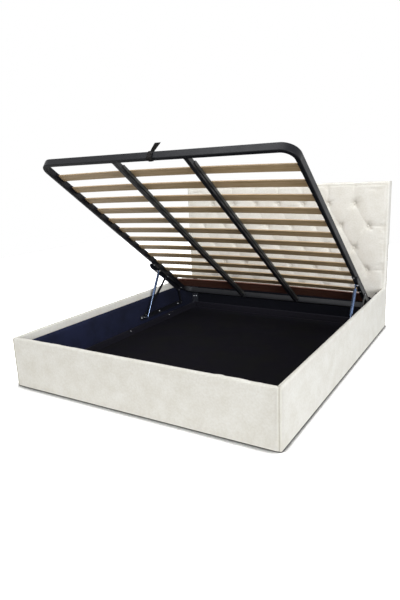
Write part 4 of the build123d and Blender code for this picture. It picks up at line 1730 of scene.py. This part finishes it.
@dataclass
class Store:
    """The inside of the box: linings, floor cloth, battens and corner angles."""

    thick: float = 0.0024
    cell: float = 0.025
    swell: float = 0.0009
    floor_swell: float = 0.0042
    swell_mm: float = 330.0
    small_swell_mm: float = 120.0
    small_share: float = 0.35
    small_shift: float = 3.0  # sets the small swells apart from the large ones
    least_cells: int = 6
    swell_edge: float = 0.06
    head_sag: float = 0.055
    sag_reach: float = 0.15

    def sheet_on(
        self, name: str, node: str, shown: Place, finish: Finish, swell: float, sag: float = 0.0
    ) -> bpy.types.Object:
        """Lay a sheet of cloth over the flat solid that it stands for.

        Args:
            name: the piece's name.
            node: the solid.
            shown: the way that the sheet's shown side faces.
            finish: its material.
            swell: how far its ripples stand out.
            sag: how far its top hangs down at the right end.

        Returns:
            The piece.
        """
        low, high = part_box(node)
        axis = max(range(3), key=lambda k: abs(shown[k]))
        across = [k for k in range(3) if k != axis]
        counts = [max(int((high[k] - low[k]) / self.cell), self.least_cells) for k in across]
        us, vs = (np.linspace(low[k], high[k], count) for k, count in zip(across, counts))
        grid = np.zeros((counts[0] * counts[1], 3))
        u, v = np.repeat(us, counts[1]), np.tile(vs, counts[0])
        grid[:, across[0]], grid[:, across[1]] = u, v
        grid[:, axis] = high[axis] if shown[axis] > 0 else low[axis]
        ripple = (1 - self.small_share) * soft_noise(grid, self.swell_mm, 4)
        ripple += self.small_share * soft_noise(grid + self.small_shift, self.small_swell_mm)
        edge = np.minimum.reduce([u - us[0], us[-1] - u, v - vs[0], vs[-1] - v])
        grid[:, axis] += shown[axis] * swell * np.clip(ripple, 0, 1) * np.clip(edge / self.swell_edge, 0, 1)
        if sag:
            # Stapled short of its right end, the cloth hangs lower there and shows the pale padding
            past = np.clip((grid[:, 0] - high.x + self.sag_reach) / self.sag_reach, 0, 1)
            grid[:, 2] -= sag * past * (grid[:, 2] - low.z) / (high.z - low.z)
        piece = new_piece(name, grid, ring_faces(*counts, closed=False))
        thicken(piece, Vector(shown), self.thick, -1.0)
        dress_piece(piece, finish, Body.BOX, [node])
        return piece

    def screws(self) -> None:
        """Set the heads of the corner angles' and battens' screws, with hexagon sockets."""
        nodes = ["corner_screws", "batten_screws"]
        places, ways = [], []
        for low, high in [part for node in nodes for part in loose_parts(node)]:
            size, middle = high - low, (low + high) / 2
            axis = min(range(3), key=lambda k: size[k])
            way = Vector((0.0, 0.0, 0.0))
            way[axis] = -1.0 if middle[axis] > 0 else 1.0
            middle[axis] -= way[axis] * size[axis] / 2
            places.append(middle)
            ways.append(way)
        growth = head_growth("box_screws", radius=0.005, height=0.0024)
        growth.grow("box_screw_heads", points_object(places, ways), ZINC, Body.BOX, nodes)

    def bolts(self) -> None:
        """Set the heads of the bolts that hold the lower brackets, on their inner side."""
        places, ways = [], []
        for low, high in loose_parts("bracket_bolts"):
            x = low.x if low.x < 0 else high.x
            places.append((x, (low.y + high.y) / 2, (low.z + high.z) / 2))
            ways.append((-math.copysign(1.0, x), 0.0, 0.0))
        growth = head_growth("bracket_bolts", radius=0.007, height=0.003)
        growth.grow("bracket_bolt_heads", points_object(places, ways), ZINC, Body.BOX, ["bracket_bolts"])

    def build(self) -> None:
        """Line the box and dress what stands in it."""
        sides = {"right": (-1, 0, 0), "left": (1, 0, 0), "foot": (0, 1, 0), "head": (0, -1, 0)}
        for side, shown in sides.items():
            finish, sag = (HEAD_LINING, self.head_sag) if side == "head" else (LINING, 0.0)
            cloth, solid = f"lining_cloth_{side}", f"lining_{side}"
            self.sheet_on(cloth, solid, shown, finish, self.swell, sag)
        up = (0, 0, 1)
        self.sheet_on("storage_floor_cloth", "storage_floor", up, FLOOR_CLOTH, self.floor_swell)
        dress_solids(BATTEN, "batten_left", "batten_right")
        dress_solids(END_BATTEN, "batten_foot", "batten_head")
        dress_solids(SHADED_ANGLE_ZINC, "corner_angles")
        self.screws()
        self.bolts()


# The platform


@dataclass
class Platform:
    """The lifted frame: ring, bars, slats, brackets and pull strap."""

    corner: Place = (0.0, -0.760866, 1.314533)  # the ring's lower foot edge, as if it were sharp
    tube_width: float = 0.024
    tube_height: float = 0.044
    length: float = 1.918
    bar_x: float = 0.235
    bar_width: float = 0.026
    bar_height: float = 0.030
    weld_low: float = 0.002
    weld_short: float = 0.001
    screw_out: float = 0.0015
    strap_width: float = 0.028
    strap_thick: float = 0.0018
    strap_crown: float = 0.0004
    strap_strands: int = 7
    strap_gap: float = 0.0012
    strap_turn: float = 0.005
    strap_slack: float = 0.0015
    tongue_x: float = 0.017
    tongue_rise: float = 0.036
    tongue_lean: float = 0.042
    tongue_upright: float = 0.8  # 0 would follow the platform's tilt, 1 stands plumb
    tongue_steps: int = 9
    # The knot pinches the tongue at its root, and it spreads to its level cut end
    spread_at: tuple[int, ...] = (0, 20, 34, 44, 68, 84)
    spread: tuple[float, ...] = (1.35, 1.15, 0.85, 0.8, 0.7, 0.55)

    def place(self, x: float, s: float, w: float) -> Place:
        """Turn a place of the platform to the bed's own frame.

        Args:
            x: how far to the right.
            s: how far from the foot edge along the platform.
            w: how far above the ring's lower side.

        Returns:
            The place as (x, y, z).
        """
        tilt = math.radians(PLATFORM_TILT_DEG)
        c, k = math.cos(tilt), math.sin(tilt)
        return (x, self.corner[1] + s * c + w * k, self.corner[2] - s * k + w * c)

    def strap_route(self) -> list[Place]:
        """Lay the pull strap: down its tongue, round the foot tube, and out under it.

        Returns:
            Places of its middle line as (x, s, w), given one by one.
        """
        r, gap, slack = self.strap_turn, self.strap_gap, self.strap_slack
        s0, s1 = -gap, self.tube_width + gap
        w0, w1 = -gap, self.tube_height + gap
        upright = self.tongue_upright * math.tan(math.radians(PLATFORM_TILT_DEG))
        route = []
        # The tongue leans to the right, and stands upright although the platform tilts
        for share in np.linspace(1, 0, self.tongue_steps):
            x = self.tongue_x + self.tongue_lean * share**1.05
            rise = self.tongue_rise * share
            route.append((x, 0.010 - upright * rise - 0.006 * share, w1 + 0.002 + rise))
        route.append((self.tongue_x, s0 + r, w1 + 0.002))
        turn = [(s0 - slack, w1 - r), (s0 - slack, w0 + r), (s0 + r, w0 - slack), (s1 - r, w0 - slack)]
        turn += [(s1, w0 + r), (s1, w1 - r)]
        route += [(0.014 + 0.0012 * k, s, w) for k, (s, w) in enumerate(turn)]
        return route + [
            (0.021, s1 - r, w1 + 0.0005),
            (0.022, s0 + r, w1 + 0.0005),
            (0.024, s0 - 0.0022, w1 - 0.010),
            (0.030, s0 - 0.0026, w0 + 0.006),
            (0.035, s0 + 0.004, w0 - 0.006),
            (0.037, s0 + 0.012, w0 - 0.0075),
            (0.038, s0 + 0.017, w0 - 0.005),
        ]

    def smooth(self, places: np.ndarray, steps: int = 4) -> np.ndarray:
        """Draw a smooth line through places.

        Args:
            places: the places, one row each.
            steps: how many points lie from place to place.

        Returns:
            The line's points, through every place.
        """
        line = []
        for i in range(len(places) - 1):
            before, after = places[max(i - 1, 0)], places[min(i + 2, len(places) - 1)]
            a, b = places[i], places[i + 1]
            for t in np.arange(steps) / steps:
                straight = 2 * a + (b - before) * t
                bend = (2 * before - 5 * a + 4 * b - after) * t * t + (3 * a - before - 3 * b + after) * t**3
                line.append(0.5 * (straight + bend))
        return np.array([*line, places[-1]])

    def strap(self) -> bpy.types.Object:
        """Build the pull strap: a flat webbing as a closed thin shell, wound round the foot tube.

        Returns:
            The piece.
        """
        line = self.smooth(np.array([self.place(*p) for p in self.strap_route()]))
        tangent = np.gradient(line, axis=0)
        tangent /= np.linalg.norm(tangent, axis=1, keepdims=True)
        wide = np.array([1.0, 0.0, 0.0])
        out = np.cross(tangent, wide)
        out /= np.linalg.norm(out, axis=1, keepdims=True)
        spread = np.interp(np.arange(len(line)), self.spread_at, self.spread)[:, None]
        shares = np.linspace(-1, 1, self.strap_strands)
        across_at = [share / 2 * self.strap_width for share in shares]
        top, bottom = [], []
        for share, off in zip(shares, across_at):
            crown = self.strap_crown * (1 - share**2)
            top.append(line + wide * off * spread + out * (self.strap_thick / 2 + crown))
            bottom.append(line + wide * off * spread - out * self.strap_thick / 2)
        ring = np.stack(top + bottom[::-1], axis=1)
        rings, around = ring.shape[:2]
        flat = ring.reshape(-1, 3)
        piece = new_piece("pull_strap_webbing", flat, capped_faces(rings, around))
        tidy_shell(piece)
        steps = np.concatenate([[0.0], np.cumsum(np.linalg.norm(np.diff(line, axis=0), axis=1))])
        across_at += across_at[::-1]
        # The tidied shell has its corners in another order, so each is found again by its place
        index = [int(np.argmin(((flat - corner.co) ** 2).sum(axis=1))) for corner in piece.data.vertices]
        layer = piece.data.uv_layers.new(name="strap")
        for loop in piece.data.loops:
            i = index[loop.vertex_index]
            layer.data[loop.index].uv = (steps[i // around], across_at[i % around])
        dress_piece(piece, STRAP_WEB, Body.PLATFORM, ["pull_strap"])
        return piece

    def welds(self) -> bpy.types.Object:
        """Weld the centre bars to the ring: a bead up both sides and over the top of each end.

        Returns:
            The piece of all beads.
        """
        lines = []
        low, top = self.weld_low, self.bar_height
        for x in (-self.bar_x, self.bar_x):
            left, right = x - self.bar_width / 2, x + self.bar_width / 2
            for s in (self.tube_width, self.length - self.tube_width):
                for side in (left, right):
                    lines.append([self.place(side, s, low), self.place(side, s, top - self.weld_short)])
                lines.append([self.place(left, s, top), self.place(right, s, top)])
        growth = bead_growth("weld_beads", spacing=0.0022, length=0.0045, width=0.0052, height=0.0052)
        return growth.grow("bar_weld_beads", lines_object(lines), FRAME_PAINT, Body.PLATFORM)

    def screws(self) -> bpy.types.Object:
        """Set the screws' heads from below through the upper brackets.

        Returns:
            The piece of all heads.
        """
        down = Vector(self.place(0, 0, -1)) - Vector(self.place(0, 0, 0))
        parts = loose_parts("upper_bracket_screws")
        places = [(low + high) / 2 - down.normalized() * self.screw_out for low, high in parts]
        growth = head_growth("bracket_screws", radius=0.0055, height=0.003)
        start = points_object(places, [down] * len(places))
        return growth.grow("upper_screw_heads", start, ZINC, Body.PLATFORM, ["upper_bracket_screws"])

    def build(self) -> None:
        """Dress the frame and slats, and build the strap, welds and screws."""
        dress_solids(RING_PAINT, "platform_ring")
        dress_solids(FRAME_PAINT, "centre_bar_left", "centre_bar_right")
        dress_solids(CAP_PLASTIC, "bar_cap_left", "bar_cap_right")
        dress_solids(SLAT_WOOD, *(f"slat_{i:02d}" for i in range(1, 13)))
        dress_solids(SHADED_HEAD_SLAT_WOOD, "head_slat")
        dress_solids(HOLDER_PLASTIC, "slat_holders")
        dress_solids(LINK_PAINT, "upper_bracket_left", "upper_bracket_right")
        dress_solids(ZINC, "upper_pivot_pins")
        self.welds()
        self.screws()
        self.strap()


@dataclass
class Linkage:
    """The brackets, arms, pins and gas springs, which keep the shape of their solids."""

    sides: tuple[str, ...] = ("left", "right")

    def build(self) -> None:
        """Dress every part of the linkage."""
        stems = {"lower_bracket": LINK_PAINT, "rear_arm": LINK_PAINT, "front_arm": LINK_PAINT}
        stems |= {"gas_rod": ROD, "gas_cylinder": CYLINDER_PAINT}
        for stem, finish in stems.items():
            dress_solids(finish, *(f"{stem}_{side}" for side in self.sides))
        dress_solids(ZINC, "lower_pivot_pins", "front_arm_pins", "gas_lower_studs", "gas_upper_studs")


# The studio


@dataclass(frozen=True)
class Lamp:
    """A soft square lamp: where it hangs, what it points at, its side in metres and its watts."""

    name: str
    place: Place
    aim: Place
    size: float
    power: float
    colour: Place

    def hang(self) -> None:
        """Hang the lamp."""
        light = bpy.data.lights.new(self.name, "AREA")
        light.color = self.colour
        light.size = self.size
        light.energy = self.power
        made = bpy.data.objects.new(self.name, light)
        way = Vector(self.aim) - Vector(self.place)
        made.matrix_world = Matrix.Translation(self.place) @ way.to_track_quat("-Z", "Y").to_matrix().to_4x4()
        bpy.context.scene.collection.objects.link(made)


# The lamps' colours, as shares of red, green and blue
DAYLIGHT = (0.95, 0.97, 1.0)
TUNGSTEN = (1.0, 0.96, 0.86)


@dataclass
class Studio:
    """A pale floor, soft lights, and the camera that looks at the bed's foot."""

    eye: Place = (1.6682, -2.9730, 1.2242)
    turn_deg: Place = (76.11585, 2.45749, 31.22027)
    focal_mm: float = 20.387
    sensor_mm: float = 24.0
    world_strength: float = 0.19
    floor_half: float = 5.5
    floor_paint: float = 0.8
    floor_gain: float = 5.6
    contact_reach: float = 0.06
    contact_closed: float = 0.35
    contact_fall: float = 2.5
    foot_reach: float = 0.13
    foot_band: tuple[float, float] = (-1.04, -1.08)
    lamps: tuple[Lamp, ...] = (
        Lamp("key_softbox", (13.0, -8.1, 4.4), (0.0, 0.0, 0.4), 6.5, 1670.0, DAYLIGHT),
        Lamp("front_top_softbox", (0.6, -3.4, 3.6), (0.3, 0.6, 0.5), 2.6, 16.0, TUNGSTEN),
        Lamp("left_softbox", (-4.0, -7.0, 2.2), (0.0, 0.0, 0.4), 3.5, 58.0, TUNGSTEN),
        Lamp("top_softbox", (0.0, -0.4, 3.6), (0.0, 0.0, 0.3), 2.6, 80.0, DAYLIGHT),
    )

    def camera(self) -> None:
        """Set the camera where the photograph was taken from."""
        lens = bpy.data.cameras.new("camera")
        lens.sensor_fit = "VERTICAL"
        lens.sensor_height = self.sensor_mm
        lens.lens = self.focal_mm
        lens.clip_start = 0.05
        lens.clip_end = 100.0
        made = bpy.data.objects.new("camera", lens)
        turn = Euler([math.radians(angle) for angle in self.turn_deg])
        made.matrix_world = Matrix.Translation(self.eye) @ turn.to_matrix().to_4x4()
        bpy.context.scene.collection.objects.link(made)
        bpy.context.scene.camera = made

    def floor(self) -> None:
        """Lay a plain white floor that keeps the bed's shadow.

        The lens sees it exposed up to paper white, with the thin dark line of shadow where the bed
        stands on it, which is wider before the foot. It lights the bed as plain white paint.
        """
        h = self.floor_half
        points = np.array([(-h, -h, 0.0), (h, -h, 0.0), (h, h, 0.0), (-h, h, 0.0)])
        made = new_piece("studio_floor", points, [(0, 1, 2, 3)])
        paint = bpy.data.materials.new("matte_white_floor")
        paint.use_nodes = True
        tree = paint.node_tree
        tree.nodes.clear()
        seen = add_node(tree, "ShaderNodeLightPath").outputs["Is Camera Ray"]
        place = add_node(tree, "ShaderNodeNewGeometry").outputs["Position"]
        along = add_node(tree, SPLIT, {0: place}).outputs["Y"]
        near, far = self.foot_band
        band = {0: along, 1: near, 2: far, 3: self.contact_reach, 4: self.foot_reach}
        reach = add_node(tree, RANGE, band)
        sky = {"Distance": reach}
        contact = add_node(tree, "ShaderNodeAmbientOcclusion", sky, samples=8, only_local=False)
        share = add_node(tree, RANGE, {0: contact.outputs["AO"], 1: self.contact_closed})
        fall = add_node(tree, MATH, {0: share, 1: self.contact_fall}, operation="POWER")
        gain = add_node(tree, MATH, {0: fall, 1: self.floor_gain}, operation="MULTIPLY")
        tone = add_node(tree, RANGE, {0: seen, 3: self.floor_paint, 4: gain})
        matte = add_node(tree, "ShaderNodeBsdfDiffuse", {0: tone})
        add_node(tree, "ShaderNodeOutputMaterial", {0: matte})
        made.data.materials.append(paint)

    def world(self) -> None:
        """Surround the bed evenly: seen as white by the eye and in metal, and lighting it gently."""
        world = bpy.data.worlds.new("white_surround")
        bpy.context.scene.world = world
        world.use_nodes = True
        tree = world.node_tree
        tree.nodes.clear()
        path = add_node(tree, "ShaderNodeLightPath")
        seen = path.outputs["Is Camera Ray"]
        for ray in ("Is Glossy Ray", "Is Transmission Ray"):
            seen = add_node(tree, MATH, {0: seen, 1: path.outputs[ray]}, operation="MAXIMUM")
        strength = add_node(tree, RANGE, {0: seen, 3: self.world_strength})
        back = add_node(tree, "ShaderNodeBackground", {0: (1.0, 1.0, 1.0, 1.0), 1: strength})
        add_node(tree, "ShaderNodeOutputWorld", {0: back})

    def build(self) -> None:
        """Set up the whole studio."""
        bpy.context.scene.view_settings.view_transform = "Standard"
        self.camera()
        self.floor()
        self.world()
        for lamp in self.lamps:
            lamp.hang()


def main() -> None:
    """Build the studio, then the bed from its box up."""
    Studio().build()
    Headboard().build()
    PanelCovers().build()
    Store().build()
    Linkage().build()
    Platform().build()
    log.info("bed built")


if __name__ == "__main__":
    main()
